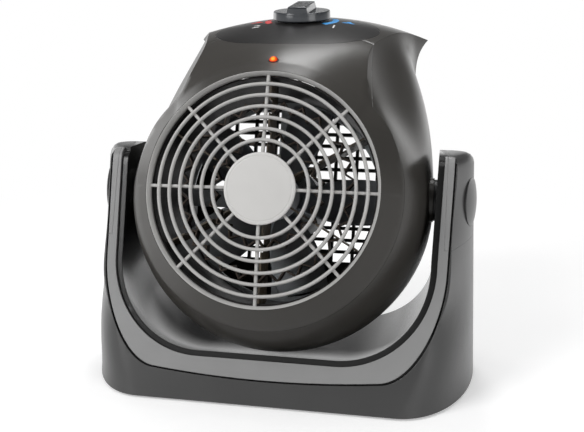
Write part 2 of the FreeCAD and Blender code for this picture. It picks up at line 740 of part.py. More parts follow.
def make_air_path():
    start = GRILLE_RIM_DEPTH
    flange_face = DUCT_END - DUCT_SHEET
    skin = tube(Vector(0, start, 0), Y_AXIS, DUCT_RADIUS + DUCT_SHEET, DUCT_RADIUS, DUCT_END - start)
    flange = tube(Vector(0, flange_face, 0), Y_AXIS, FLANGE_RADIUS, DUCT_RADIUS, DUCT_SHEET)
    duct = skin.fuse(flange).removeSplitter()
    back = DUCT_END + BRACKET_THICKNESS
    ring = tube(Vector(0, DUCT_END, 0), Y_AXIS, FLANGE_RADIUS, DUCT_RADIUS - 3.0, BRACKET_THICKNESS)
    hub = rod(Vector(0, DUCT_END, 0), Y_AXIS, MOTOR_RADIUS, BRACKET_THICKNESS)
    long, half = DUCT_RADIUS, BRACKET_ARM / 2
    arms = [
        box(-long, long, DUCT_END, back, -half, half),
        box(-half, half, DUCT_END, back, -long, long),
    ]
    bracket = fuse_all([ring, hub] + arms)
    bracket = bracket.cut(rod(Vector(0, DUCT_END - 1, 0), Y_AXIS, 8.0, 10.0))

    body = rod(Vector(0, back, 0), Y_AXIS, MOTOR_RADIUS, MOTOR_LENGTH)
    nose = rod(Vector(0, DUCT_END, 0), Y_AXIS, 8.0 - SEAT_CLEARANCE, BRACKET_THICKNESS)
    tail = rod(Vector(0, back + MOTOR_LENGTH, 0), Y_AXIS, 9.0, 4.0)
    bore = rod(Vector(0, DUCT_END - 1, 0), Y_AXIS, SHAFT_RADIUS + RUNNING_CLEARANCE, MOTOR_LENGTH)
    motor = fuse_all([body, nose, tail]).cut(bore)
    motor_screws = []
    for sx in (-1, 1):
        for sz in (-1, 1):
            place = Vector(sx * 12.0, DUCT_END, sz * 12.0)
            hole = rod(place - Y_AXIS, Y_AXIS, SCREW_RADIUS + SEAT_CLEARANCE, 9.0)
            bracket = bracket.cut(hole)
            motor = motor.cut(hole)
            motor_screws.append(screw(place, Y_AXIS, 7.0))
    bracket_screws = []
    for x, z in post_places():
        hole = rod(Vector(x, flange_face - 1.0, z), Y_AXIS, SCREW_RADIUS + SEAT_CLEARANCE, 10.0)
        duct = duct.cut(hole)
        bracket = bracket.cut(hole)
        bracket_screws.append(screw(Vector(x, back, z), Y_AXIS * -1, 11.0))

    block = box(-14, 14, back, back + 12, -82, -70)
    grooves = [box(x - 2.5, x + 2.5, back + 3, back + 13, -79, -73) for x in (-8, 0, 8)]
    for groove in grooves:
        block = block.cut(groove)
    tip = box(-82, -70, back, back + 18, -11, 11)
    return {
        "air_duct": duct,
        "motor_bracket": bracket,
        "fan_motor": motor,
        "motor_screws": Part.makeCompound(motor_screws),
        "bracket_screws": Part.makeCompound(bracket_screws),
        "terminal_block": block,
        "tip_over_switch": tip,
    }


def blade_section(radius, chord, pitch):
    """A rounded strip across the blade at one radius."""
    across = Vector(0, math.sin(math.radians(pitch)), math.cos(math.radians(pitch)))
    thick = Vector(0, math.cos(math.radians(pitch)), -math.sin(math.radians(pitch)))
    centre = Vector(radius, FAN_FRONT + FAN_HUB_LENGTH / 2, 0)
    corners = [
        centre + across * (sa * chord / 2) + thick * (st * FAN_SHEET / 2)
        for sa, st in ((-1, -1), (1, -1), (1, 1), (-1, 1))
    ]
    return Part.makePolygon(corners + corners[:1])


def make_fan():
    hub = rod(Vector(0, FAN_FRONT, 0), Y_AXIS, FAN_HUB_RADIUS, FAN_HUB_LENGTH)
    blades = []
    for k in range(FAN_BLADES):
        steps = ((FAN_HUB_RADIUS - 2.0, 19.0, 48.0), (42.0, 38.0, 36.0), (FAN_RADIUS, 34.0, 27.0))
        blade = Part.makeLoft([blade_section(*s) for s in steps], True, False)
        blade.rotate(Vector(0, 0, 0), Y_AXIS, 360.0 * k / FAN_BLADES)
        blades.append(blade)
    rim = tube(Vector(0, FAN_FRONT - 5, 0), Y_AXIS, FAN_RADIUS + 5, FAN_RADIUS, FAN_HUB_LENGTH + 10)
    fan = fuse_all([hub] + [b.cut(rim) for b in blades])
    fan = fan.cut(rod(Vector(0, FAN_FRONT - 1, 0), Y_AXIS, SHAFT_RADIUS + SEAT_CLEARANCE, 60.0))
    shaft_back = DUCT_END + MOTOR_LENGTH - 4.0
    shaft = rod(Vector(0, FAN_FRONT - 5.0, 0), Y_AXIS, SHAFT_RADIUS, shaft_back - FAN_FRONT + 5.0)
    nut = tube(Vector(0, FAN_FRONT - 4.0, 0), Y_AXIS, 6.0, SHAFT_RADIUS + SEAT_CLEARANCE, 4.0)
    return {"fan_blades": fan, "motor_shaft": shaft, "fan_lock_nut": nut}


def make_heater():
    plates = []
    reach = DUCT_RADIUS - FACE_GAP
    for k in range(MICA_PLATES):
        plate = box(-reach, reach, MICA_FRONT, MICA_BACK, -MICA_SHEET / 2, MICA_SHEET / 2)
        plate.rotate(Vector(0, 0, 0), Y_AXIS, 90.0 + 180.0 * k / MICA_PLATES)
        plates.append(plate)
    mica = fuse_all(plates)
    seat = MICA_FRONT + RIBBON_WIDTH + 1.0
    parts = {}
    for name, r in zip(("inner", "outer"), RIBBON_RADII):
        clear = RIBBON_FOLD + 1.0
        mica = mica.cut(tube(Vector(0, 0, 0), Y_AXIS, r + clear, r - clear, seat))
        count = 2 * int(r * 2 * math.pi * RIBBON_FOLDS_PER_MM / 2)
        gap = math.radians(10.0)
        outer_side, inner_side = [], []
        for k in range(count + 1):
            angle = gap / 2 + (2 * math.pi - gap) * k / count + math.pi / 4
            fold = r + RIBBON_FOLD * (1 if k % 2 else -1)
            for side, shift in ((outer_side, 0.5), (inner_side, -0.5)):
                radius = fold + shift * 2.4 * RIBBON_SHEET
                side.append((radius * math.cos(angle), seat - RIBBON_WIDTH, radius * math.sin(angle)))
        parts["heating_ribbon_" + name] = prism(outer_side + inner_side[::-1], Y_AXIS * RIBBON_WIDTH)
    parts["mica_frame"] = mica
    cutout = rod(Vector(MICA_SHEET / 2, 26.0, 19.0), X_AXIS, 6.5, 5.0)
    lead = box(MICA_SHEET / 2 + 1.5, MICA_SHEET / 2 + 2.3, 22.5, 29.5, 8.0, 13.0)
    parts["thermal_cutout"] = cutout.fuse(lead).removeSplitter()
    return parts


def make_rear():
    front = HEAD_DEPTH - REAR_PLATE
    layer = box(-200, 200, front, HEAD_DEPTH, -200, 200)
    plate = head_block(HEAD_WALL + SEAM).common(layer)
    safe = head_block(HEAD_WALL + SLOT_MARGIN)
    middle = 15.0
    slots = []
    for i in range(SLOT_COLUMNS):
        for j in range(SLOT_ROWS):
            x = (i - (SLOT_COLUMNS - 1) / 2) * SLOT_PITCH_X
            z = middle + (j - (SLOT_ROWS - 1) / 2) * SLOT_PITCH_Z
            if math.hypot(max(abs(x) - SLOT_WIDTH / 2, 0), z - GLAND_UP) < GLAND_FLANGE + 5.0:
                continue
            if any(abs(x - sx) < 13.0 and abs(z - sz) < 8.0 for sx, sz in rear_screw_places()):
                continue
            corners = [
                Vector(x + sx * SLOT_WIDTH / 2, front, z + sz * SLOT_HEIGHT / 2)
                for sx in (-1, 1)
                for sz in (-1, 1)
            ]
            if all(safe.isInside(c, 0.01, True) for c in corners):
                slots.append(
                    box(x - SLOT_WIDTH / 2, x + SLOT_WIDTH / 2, front - 1, HEAD_DEPTH + 1,
                        z - SLOT_HEIGHT / 2, z + SLOT_HEIGHT / 2)
                )
    plate = plate.cut(Part.makeCompound(slots))
    screws = []
    for x, z in rear_screw_places():
        plate = plate.cut(rod(Vector(x, front - 1, z), Y_AXIS, SCREW_RADIUS + 0.1, 10.0))
        screws.append(screw(Vector(x, HEAD_DEPTH, z), Y_AXIS * -1, 13.0))
    centre = Vector(0, front - 6.0, GLAND_UP)
    plate = plate.cut(rod(centre, Y_AXIS, GLAND_RADIUS + SEAT_CLEARANCE, 20.0))
    gland = rod(centre, Y_AXIS, GLAND_RADIUS, REAR_PLATE + 6.0)
    flange = rod(Vector(0, HEAD_DEPTH, GLAND_UP), Y_AXIS, GLAND_FLANGE, 2.0)
    nose = Part.makeCone(GLAND_RADIUS, GLAND_RADIUS - 1.2, 6.0, Vector(0, HEAD_DEPTH + 2.0, GLAND_UP), Y_AXIS)
    gland = fuse_all([gland, flange, nose]).cut(rod(centre, Y_AXIS, GLAND_BORE, 30.0))
    return {
        "rear_grille": plate,
        "rear_grille_screws": Part.makeCompound(screws),
        "cord_gland": gland,
    }


def hexagon(start, axis, across_flats, length):
    r = across_flats / math.sqrt(3.0)
    points = [
        (start.x, start.y + r * math.cos(math.radians(60 * k)), start.z + r * math.sin(math.radians(60 * k)))
        for k in range(6)
    ]
    return prism(points, axis * length)


def make_pivots():
    parts = {}
    for name, side in SIDES:
        axis = X_AXIS * side

        def at(x):
            return Vector(side * x, PIVOT_BACK, PIVOT_UP)

        inner = HEAD_PAD_FACE - 8.0
        flange = rod(at(inner - 3.0), axis, PIN_RADIUS + 4.0, 3.0)
        pin_end = ARM_PAD_END + 9.5
        pin = rod(at(inner - 0.5), axis, PIN_RADIUS, pin_end - inner + 0.5)
        parts["pivot_pin_" + name] = flange.fuse(pin).removeSplitter()
        washer_thick = ARM_PAD_FACE - FACE_GAP - HEAD_PAD_FACE
        bore = PIN_RADIUS + SEAT_CLEARANCE
        washer_radius = PIVOT_PAD_RADIUS - 1.0
        parts["pivot_washer_" + name] = tube(at(HEAD_PAD_FACE), axis, washer_radius, bore, washer_thick)
        spring = ARM_PAD_END + 1.6 + FACE_GAP
        parts["spring_washer_" + name] = tube(at(spring), axis, PIN_RADIUS + 3.6, bore, 1.4)
        nut = hexagon(at(spring + 1.4), axis, 17.0, 5.0)
        parts["lock_nut_" + name] = nut.cut(rod(at(spring), axis, bore, 10.0))
    return parts


def make_head():
    outside, bezel, shell, panel = make_housing()
    parts = make_controls(outside, shell, panel, bezel)
    parts.update(make_front_grille())
    parts.update(make_air_path())
    parts.update(make_fan())
    parts.update(make_heater())
    parts.update(make_rear())
    parts.update(make_pivots())
    lean = FreeCAD.Rotation(X_AXIS, -HEAD_TILT)
    pivot = FreeCAD.Placement(Vector(0, PIVOT_Y, PIVOT_Z), lean)
    to_pivot = FreeCAD.Placement(Vector(0, -PIVOT_BACK, -PIVOT_UP), FreeCAD.Rotation())
    place = pivot.multiply(to_pivot)
    for shape in parts.values():
        shape.Placement = place.multiply(shape.Placement)
    return parts


def main():
    os.makedirs("parts", exist_ok=True)
    parts = make_stand()
    parts.update(make_head())
    for name, shape in parts.items():
        shape.exportStep("parts/" + name + ".step")
    print(len(parts), "nodes")


main()
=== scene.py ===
"""Looks of a tilting fan heater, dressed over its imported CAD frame."""

from __future__ import annotations

import json
import logging
import math
from dataclasses import dataclass
from enum import Enum
from typing import Any, Callable, Iterable, Sequence

import bmesh
import bpy
from mathutils import Matrix, Vector
from mathutils.bvhtree import BVHTree

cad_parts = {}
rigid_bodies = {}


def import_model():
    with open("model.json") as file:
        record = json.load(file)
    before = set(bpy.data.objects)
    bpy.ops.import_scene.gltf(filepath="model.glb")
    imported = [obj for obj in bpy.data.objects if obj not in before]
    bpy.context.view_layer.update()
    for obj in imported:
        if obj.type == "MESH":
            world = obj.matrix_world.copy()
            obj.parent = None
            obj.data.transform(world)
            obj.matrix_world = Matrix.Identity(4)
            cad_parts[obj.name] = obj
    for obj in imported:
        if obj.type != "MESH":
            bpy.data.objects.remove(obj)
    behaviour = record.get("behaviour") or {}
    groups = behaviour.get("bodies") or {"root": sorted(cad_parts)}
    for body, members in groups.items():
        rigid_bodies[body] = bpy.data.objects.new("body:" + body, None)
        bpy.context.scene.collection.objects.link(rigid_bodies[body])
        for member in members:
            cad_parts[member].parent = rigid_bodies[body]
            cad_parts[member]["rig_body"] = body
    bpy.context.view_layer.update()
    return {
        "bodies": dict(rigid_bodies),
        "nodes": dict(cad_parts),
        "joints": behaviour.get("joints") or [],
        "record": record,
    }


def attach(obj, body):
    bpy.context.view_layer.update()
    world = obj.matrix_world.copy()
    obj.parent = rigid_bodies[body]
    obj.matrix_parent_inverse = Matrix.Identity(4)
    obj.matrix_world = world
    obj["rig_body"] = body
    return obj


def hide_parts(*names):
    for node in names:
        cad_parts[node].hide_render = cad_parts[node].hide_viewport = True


log = logging.getLogger("fan_heater")

MM = 0.001  # metres
MERGE = 1e-6  # metres
CAD_MERGE = 3e-6  # metres
SHARP = 32.0  # degrees
MIX_SHARE, MIX_FIRST, MIX_SECOND, MIX_RESULT = 0, 6, 7, 2  # a Mix node's colour sockets
WHITE_LIGHT = (1.0, 1.0, 1.0)

BMesh = bmesh.types.BMesh
BMFace = bmesh.types.BMFace
Colour = tuple[float, float, float]
Point = tuple[float, float, float]
Span = tuple[float, float]
Profile = tuple[tuple[float, float], ...]


def srgb(red: int, green: int, blue: int) -> Colour:
    """Turn three 8-bit display values into a linear colour, by the sRGB curve.

    Args:
        red: Red, 0 to 255.
        green: Green, 0 to 255.
        blue: Blue, 0 to 255.

    Returns:
        The linear colour.
    """
    shares = [value / 255 for value in (red, green, blue)]
    return tuple(s / 12.92 if s < 0.04 else ((s + 0.055) / 1.055) ** 2.4 for s in shares)


def toned(colour: Colour, share: float, lift: float = 0.0) -> Colour:
    """Scale a colour, and lift it towards white."""
    return tuple(min(1.0, part * share + lift) for part in colour)


class Axis(Enum):
    """The direction that a metal's fine lines follow."""

    ACROSS = (1.0, 0.0, 0.0)
    BACK = (0.0, 1.0, 0.0)


@dataclass(frozen=True)
class Sock:
    """An output socket whose arithmetic adds Math nodes to its graph."""

    graph: Graph
    socket: bpy.types.NodeSocket | None

    def math(self, operation: str, first: Any, second: Any) -> Sock:
        """Add one Math node.

        Args:
            operation: Blender's name of the operation.
            first: First value or socket.
            second: Second value or socket.

        Returns:
            The node's result.
        """
        return self.graph.node("ShaderNodeMath", {"operation": operation}, {0: first, 1: second})

    def __add__(self, other: Any) -> Sock:
        """Sum."""
        return self.math("ADD", self, other)

    def __radd__(self, other: Any) -> Sock:
        """Sum with the number first."""
        return self.math("ADD", other, self)

    def __sub__(self, other: Any) -> Sock:
        """Difference."""
        return self.math("SUBTRACT", self, other)

    def __rsub__(self, other: Any) -> Sock:
        """Difference with the number first."""
        return self.math("SUBTRACT", other, self)

    def __mul__(self, other: Any) -> Sock:
        """Product."""
        return self.math("MULTIPLY", self, other)

    def __rmul__(self, other: Any) -> Sock:
        """Product with the number first."""
        return self.math("MULTIPLY", other, self)

    def most(self, other: Any) -> Sock:
        """The larger of two values."""
        return self.math("MAXIMUM", self, other)

    def step(self, low: float, high: float) -> Sock:
        """Rise smoothly from 0 at low to 1 at high.

        Args:
            low: Value that gives 0.
            high: Value that gives 1.

        Returns:
            The eased share.
        """
        return self.graph.node(
            "ShaderNodeMapRange",
            {"interpolation_type": "SMOOTHSTEP", "clamp": True},
            {"Value": self, "From Min": low, "From Max": high},
        )


@dataclass(frozen=True)
class Graph:
    """The node tree of one material or world."""

    tree: bpy.types.NodeTree

    @classmethod
    def blank(cls, owner: bpy.types.Material | bpy.types.World) -> Graph:
        """Empty the node tree of a material or world.

        Args:
            owner: The material or world.

        Returns:
            Its graph.
        """
        owner.use_nodes = True
        owner.node_tree.nodes.clear()
        return cls(owner.node_tree)

    def node(self, kind: str, settings: dict[str, Any] | None = None,
             inputs: dict[Any, Any] | None = None, out: int | str = 0) -> Sock:
        """Add a node, set it and link it.

        Args:
            kind: Blender's node type.
            settings: Properties, set first.
            inputs: Values or sockets for the node's inputs.
            out: Which output is returned.

        Returns:
            The chosen output.
        """
        made = self.tree.nodes.new(kind)
        for key, value in (settings or {}).items():
            setattr(made, key, value)
        for key, value in (inputs or {}).items():
            target = made.inputs[key]
            if isinstance(value, Sock):
                self.tree.links.new(value.socket, target)
            elif target.type == "RGBA":
                target.default_value = (*value, 1.0)
            else:
                target.default_value = value
        return Sock(self, made.outputs[out] if made.outputs else None)

    def place(self) -> Sock:
        """Object coordinates, in metres."""
        return self.node("ShaderNodeTexCoord", out="Object")

    def noise(self, scale: float, detail: float, vector: Sock | None = None) -> Sock:
        """A noise value.

        Args:
            scale: Spots to a metre.
            detail: Octaves.
            vector: Coordinates, or the object's own.

        Returns:
            Noise around a half.
        """
        where = vector or self.place()
        inputs = {"Vector": where, "Scale": scale, "Detail": detail}
        return self.node("ShaderNodeTexNoise", None, inputs)

    def cells(self, scale: float) -> Sock:
        """A pattern of crystals or flakes.

        Args:
            scale: Cells to a metre.

        Returns:
            A random value that is the same all over a cell.
        """
        inputs = {"Vector": self.place(), "Scale": scale}
        colour = self.node("ShaderNodeTexVoronoi", {"feature": "F1"}, inputs, "Color")
        return self.node("ShaderNodeSeparateColor", None, {"Color": colour})

    def mix(self, share: Any, first: Any, second: Any) -> Sock:
        """Mix two colours.

        Args:
            share: How much of the second colour.
            first: First colour or socket.
            second: Second colour or socket.

        Returns:
            The mixed colour.
        """
        inputs = {MIX_SHARE: share, MIX_FIRST: first, MIX_SECOND: second}
        return self.node("ShaderNodeMix", {"data_type": "RGBA"}, inputs, MIX_RESULT)

    def rounded(self, radius: float) -> Sock:
        """The normal with edges rounded off by a radius in metres."""
        return self.node("ShaderNodeBevel", {"samples": 6}, {"Radius": radius})

    def edge(self, normal: Sock) -> Sock:
        """Find edges by how far a rounded normal leaves the face it is on.

        Args:
            normal: The rounded normal.

        Returns:
            0 on a flat face, more towards an edge.
        """
        face = self.node("ShaderNodeNewGeometry", out="Normal")
        same = self.node("ShaderNodeVectorMath", {"operation": "DOT_PRODUCT"},
                         {0: normal, 1: face}, "Value")
        return 1.0 - same

    def bump(self, height: Sock, depth: float, normal: Sock | None = None,
             strength: float = 1.0) -> Sock:
        """Turn heights into a normal.

        Args:
            height: Heights, 0 to 1.
            depth: Height of 1, in metres.
            normal: Normal to start from.
            strength: Share of the effect.

        Returns:
            The bumped normal.
        """
        inputs = {"Height": height, "Distance": depth, "Strength": strength}
        if normal is not None:
            inputs["Normal"] = normal
        return self.node("ShaderNodeBump", None, inputs)

    def surface(self, **sockets: Any) -> Sock:
        """A Principled shader; underscores in names stand for spaces."""
        names = {key.replace("_", " "): value for key, value in sockets.items()}
        return self.node("ShaderNodeBsdfPrincipled", None, names)


@dataclass(frozen=True)
class Finish:
    """A named surface; each kind says how it is shaded.

    Sizes are in metres, and patterns are scaled in spots to a metre.
    """

    name: str

    def shade(self, graph: Graph) -> Sock:
        """Add this finish's nodes and return the shader."""
        raise NotImplementedError

    def material(self) -> bpy.types.Material:
        """Make the material once, then find it again.

        Returns:
            The material.
        """
        label = self.name + "_finish"
        found = bpy.data.materials.get(label)
        if found:
            return found
        made = bpy.data.materials.new(label)
        graph = Graph.blank(made)
        graph.node("ShaderNodeOutputMaterial", None, {"Surface": self.shade(graph)})
        return made


@dataclass(frozen=True)
class Moulded(Finish):
    """Injection-moulded plastic with a fine spark texture and rubbed edges."""

    colour: Colour
    rough: float = 0.42
    level: float = 0.3
    grain: float = 2400.0
    grain_rough: float = 0.08
    depth: float = 0.00004
    relief: float = 0.4
    cloud: float = 26.0
    cloud_span: Span = (0.3, 0.7)
    tint: float = 0.04
    smear: float = 90.0
    smear_span: Span = (0.5, 0.78)
    smear_rough: float = 0.025
    round_off: float = 0.0007
    edge_span: Span = (0.02, 0.35)
    edge_polish: float = 0.06
    wear: float = 0.25
    worn_share: float = 1.5
    worn_lift: float = 0.02

    def shade(self, graph: Graph) -> Sock:
        """Grain, slow clouding of the pigment, and edges polished by handling.

        Args:
            graph: The material's nodes.

        Returns:
            The shader.
        """
        rounded = graph.rounded(self.round_off)
        edge = graph.edge(rounded).step(*self.edge_span)
        grain = graph.noise(self.grain, detail=3.0)
        cloud = graph.noise(self.cloud, detail=3.0).step(*self.cloud_span)
        smear = graph.noise(self.smear, detail=4.0).step(*self.smear_span)
        dark = toned(self.colour, 1.0 - self.tint)
        pale = toned(self.colour, 1.0 + self.tint)
        worn = toned(self.colour, self.worn_share, self.worn_lift)
        body = graph.mix(edge * self.wear, graph.mix(cloud, dark, pale), worn)
        rough = (self.rough + smear * self.smear_rough + (grain - 0.5) * self.grain_rough
                 - edge * self.edge_polish)
        return graph.surface(
            Base_Color=body, Roughness=rough, Specular_IOR_Level=self.level,
            Normal=graph.bump(grain, self.depth, rounded, self.relief),
        )


@dataclass(frozen=True)
class Soft(Finish):
    """Matt rubber with a faint bloom."""

    colour: Colour
    rough: float = 0.72
    level: float = 0.25
    bloom: float = 320.0
    bloom_span: Span = (0.42, 0.75)
    bloom_share: float = 0.5
    bloom_rough: float = 0.15
    pale_share: float = 2.2
    pale_lift: float = 0.01
    grain: float = 1500.0
    depth: float = 0.00006
    round_off: float = 0.0005

    def shade(self, graph: Graph) -> Sock:
        """Powdery bloom over dark rubber.

        Args:
            graph: The material's nodes.

        Returns:
            The shader.
        """
        bloom = graph.noise(self.bloom, detail=5.0).step(*self.bloom_span)
        pale = toned(self.colour, self.pale_share, self.pale_lift)
        grain = graph.noise(self.grain, detail=3.0)
        return graph.surface(
            Base_Color=graph.mix(bloom * self.bloom_share, self.colour, pale),
            Roughness=self.rough + bloom * self.bloom_rough, Specular_IOR_Level=self.level,
            Normal=graph.bump(grain, self.depth, graph.rounded(self.round_off)),
        )


@dataclass(frozen=True)
class Metal(Finish):
    """Turned, drawn or rolled metal with fine lines along one axis."""

    colour: Colour
    rough: float = 0.34
    lines: Axis = Axis.BACK
    line_along: float = 30.0
    line_across: float = 1600.0
    line_rough: float = 0.25
    depth: float = 0.00002
    relief: float = 0.5
    stain: float = 0.15
    stain_spots: float = 55.0
    stain_span: Span = (0.45, 0.8)
    stain_rough: float = 0.1
    stain_tone: float = 0.45
    round_off: float = 0.0004
    edge_span: Span = (0.02, 0.4)
    edge_share: float = 0.3
    edge_tone: float = 1.3

    def shade(self, graph: Graph) -> Sock:
        """Drawn-out lines, dull stains and bright edges.

        Args:
            graph: The material's nodes.

        Returns:
            The shader.
        """
        scale = [self.line_along if part else self.line_across for part in self.lines.value]
        drawn = graph.node("ShaderNodeMapping", None, {"Vector": graph.place(), "Scale": scale})
        lines = graph.noise(scale=1.0, detail=4.0, vector=drawn)
        stain = graph.noise(self.stain_spots, detail=5.0).step(*self.stain_span)
        rounded = graph.rounded(self.round_off)
        edge = graph.edge(rounded).step(*self.edge_span)
        body = graph.mix(stain * self.stain, self.colour, toned(self.colour, self.stain_tone))
        body = graph.mix(edge * self.edge_share, body, toned(self.colour, self.edge_tone))
        rough = self.rough + (lines - 0.5) * self.line_rough + stain * self.stain_rough
        return graph.surface(
            Base_Color=body, Metallic=1.0, Roughness=rough,
            Normal=graph.bump(lines, self.depth, rounded, self.relief),
        )


@dataclass(frozen=True)
class Galvanised(Finish):
    """Zinc-coated sheet with a spangle."""

    colour: Colour
    rough: float = 0.3
    spangle: float = 170.0
    spangle_rough: float = 0.2
    spangle_tone: float = 0.7
    grain: float = 900.0
    grain_rough: float = 0.08
    depth: float = 0.00002
    round_off: float = 0.0003

    def shade(self, graph: Graph) -> Sock:
        """Crystals of differing brightness and sheen.

        Args:
            graph: The material's nodes.

        Returns:
            The shader.
        """
        spangle = graph.cells(self.spangle)
        grain = graph.noise(self.grain, detail=3.0)
        return graph.surface(
            Base_Color=graph.mix(spangle, toned(self.colour, self.spangle_tone), self.colour),
            Metallic=1.0,
            Roughness=self.rough + spangle * self.spangle_rough + grain * self.grain_rough,
            Normal=graph.bump(grain, self.depth, graph.rounded(self.round_off)),
        )


@dataclass(frozen=True)
class Flake(Finish):
    """Pressed mica board, brown and silvery in flakes."""

    colour: Colour
    rough: float = 0.3
    flakes: float = 420.0
    flake_rough: float = 0.3
    flake_coat: float = 0.3
    dark_tone: float = 0.6
    pale_tone: float = 1.25
    depth: float = 0.00003
    relief: float = 0.5

    def shade(self, graph: Graph) -> Sock:
        """Overlapping flakes with a soft sheen.

        Args:
            graph: The material's nodes.

        Returns:
            The shader.
        """
        flake = graph.cells(self.flakes)
        dark, pale = toned(self.colour, self.dark_tone), toned(self.colour, self.pale_tone)
        return graph.surface(
            Base_Color=graph.mix(flake, dark, pale),
            Roughness=self.rough + flake * self.flake_rough, Coat_Weight=flake * self.flake_coat,
            Normal=graph.bump(flake, self.depth, None, self.relief),
        )


@dataclass(frozen=True)
class Glow(Finish):
    """A red lens lit from behind, brightest in its middle."""

    centre: Point
    radius: float
    core: Colour
    body: Colour
    rim: Colour
    core_span: Span = (0.2, 0.7)
    rim_span: Span = (0.75, 1.15)
    plastic: Colour = (0.1, 0.005, 0.003)
    rough: float = 0.25
    level: float = 0.1
    strength: float = 0.9

    def shade(self, graph: Graph) -> Sock:
        """Rings of colour about the lens's middle.

        Args:
            graph: The material's nodes.

        Returns:
            The shader.
        """
        metres = graph.node("ShaderNodeVectorMath", {"operation": "DISTANCE"},
                            {0: graph.place(), 1: self.centre}, "Value")
        away = metres * (1.0 / self.radius)
        hot = graph.mix(away.step(*self.core_span), self.core, self.body)
        return graph.surface(
            Base_Color=self.plastic, Roughness=self.rough, Specular_IOR_Level=self.level,
            Emission_Color=graph.mix(away.step(*self.rim_span), hot, self.rim),
            Emission_Strength=self.strength,
        )


@dataclass(frozen=True)
class Ink(Finish):
    """Pad-printed ink, slightly mottled."""

    colour: Colour
    rough: float = 0.45
    level: float = 0.3
    mottle: float = 1400.0
    mottle_span: Span = (0.3, 0.75)
    mottle_rough: float = 0.1
    thin_tone: float = 0.86

    def shade(self, graph: Graph) -> Sock:
        """A thin film with pinholes of tone.

        Args:
            graph: The material's nodes.

        Returns:
            The shader.
        """
        mottle = graph.noise(self.mottle, detail=3.0).step(*self.mottle_span)
        return graph.surface(
            Base_Color=graph.mix(mottle, toned(self.colour, self.thin_tone), self.colour),
            Roughness=self.rough + mottle * self.mottle_rough, Specular_IOR_Level=self.level,
        )


class Look:
    """The finishes of the heater."""

    SHELL = Moulded("shell_grey", srgb(63, 61, 58), rough=0.29, level=0.25)
    STAND = Moulded("stand_grey", srgb(62, 62, 62), rough=0.3, level=0.5)
    # painted shade: a darker, glossier grey for the channel under the head and its lip, where
    # shade falls
    CHANNEL_SHADE = Moulded("channel_painted_shade", srgb(34, 34, 34), rough=0.18, level=0.5, wear=0.1)
    BAND = Moulded("band_grey", srgb(142, 142, 142), rough=0.32, wear=0.15)
    PANEL = Moulded("panel_black", srgb(36, 35, 35), rough=0.3, level=0.25)
    KNOB = Moulded("knob_grey", srgb(58, 61, 65), rough=0.17, level=0.5, round_off=0.0005)
    GRILLE = Moulded("grille_grey", srgb(178, 177, 175), rough=0.34, wear=0.1, depth=0.00002)
    DISC = Moulded("disc_grey", srgb(198, 197, 195), rough=0.36, wear=0.1, depth=0.00002)
    BASE = Moulded("base_black", srgb(26, 26, 27), rough=0.55, depth=0.00008)
    SWITCH = Moulded("switch_black", srgb(24, 24, 26), rough=0.4)
    NYLON = Moulded("bush_nylon", srgb(216, 210, 196), rough=0.4, wear=0.0)
    CERAMIC = Moulded("cutout_ceramic", srgb(226, 222, 212), rough=0.5, wear=0.0)
    CLEAR = Moulded("lamp_clear", srgb(190, 120, 90), rough=0.15, wear=0.0, level=0.5)
    RUBBER = Soft("foot_rubber", srgb(24, 24, 24))
    STEEL = Metal("screw_steel", srgb(178, 178, 176), rough=0.3)
    PIN = Metal("pivot_steel", srgb(92, 92, 92), rough=0.34, lines=Axis.ACROSS)
    MOTOR = Metal("motor_steel", srgb(128, 130, 132), rough=0.42)
    RIBBON = Metal("ribbon_alloy", srgb(70, 63, 58), rough=0.5, stain=0.6)
    # dark grey metal for the duct
    DARK_DUCT = Metal("duct_black", srgb(52, 50, 50), rough=0.5, stain=0.4)
    BLADE = Metal("fan_aluminium", srgb(188, 192, 196), rough=0.36, lines=Axis.ACROSS)
    SHEET = Galvanised("sheet_steel", srgb(176, 180, 182))
    MICA = Flake("mica_board", srgb(84, 74, 60))
    WHITE = Ink("ink_white", srgb(236, 236, 234))
    RED = Ink("ink_red", srgb(222, 70, 72))
    BLUE = Ink("ink_blue", srgb(58, 164, 238))


def smooth_by_angle(bm: BMesh, degrees: float) -> None:
    """Shade faces smooth and keep edges sharper than an angle.

    Args:
        bm: The mesh.
        degrees: Edges that turn more than this stay sharp.
    """
    limit = math.radians(degrees)
    for face in bm.faces:
        face.smooth = True
    for edge in bm.edges:
        edge.smooth = len(edge.link_faces) == 2 and edge.calc_face_angle(0.0) < limit


def closed(bm: BMesh) -> None:
    """Merge doubles and turn faces outwards."""
    bmesh.ops.remove_doubles(bm, verts=bm.verts, dist=MERGE)
    bmesh.ops.recalc_face_normals(bm, faces=bm.faces)


def moved(bm: BMesh, matrix: Matrix) -> BMesh:
    """Put a mesh through a matrix and hand it back."""
    bmesh.ops.transform(bm, matrix=matrix, verts=bm.verts)
    return bm


def outline(bm: BMesh, points: Iterable[Sequence[float]], loop: bool) -> list[Any]:
    """Draw a run of edges through a few points.

    Args:
        bm: The mesh.
        points: The points.
        loop: Whether the last joins the first.

    Returns:
        The vertices and edges, for an operator.
    """
    verts = [bm.verts.new(p) for p in points]
    pairs = list(zip(verts, verts[1:])) + ([(verts[-1], verts[0])] if loop else [])
    return verts + [bm.edges.new(pair) for pair in pairs]


def turned(profile: Sequence[Sequence[float]], steps: int,
           loop: bool = False) -> BMesh:
    """Turn a profile of (radius, along) about the local Y axis.

    Args:
        profile: Points of the profile.
        steps: Steps of the turn.
        loop: Whether the profile closes on itself.

    Returns:
        The turned mesh.
    """
    bm = bmesh.new()
    geom = outline(bm, [(r, y, 0.0) for r, y in profile], loop)
    bmesh.ops.spin(bm, geom=geom, cent=(0, 0, 0), axis=(0, 1, 0), angle=math.tau,
                   steps=steps, use_merge=True)
    closed(bm)
    return bm


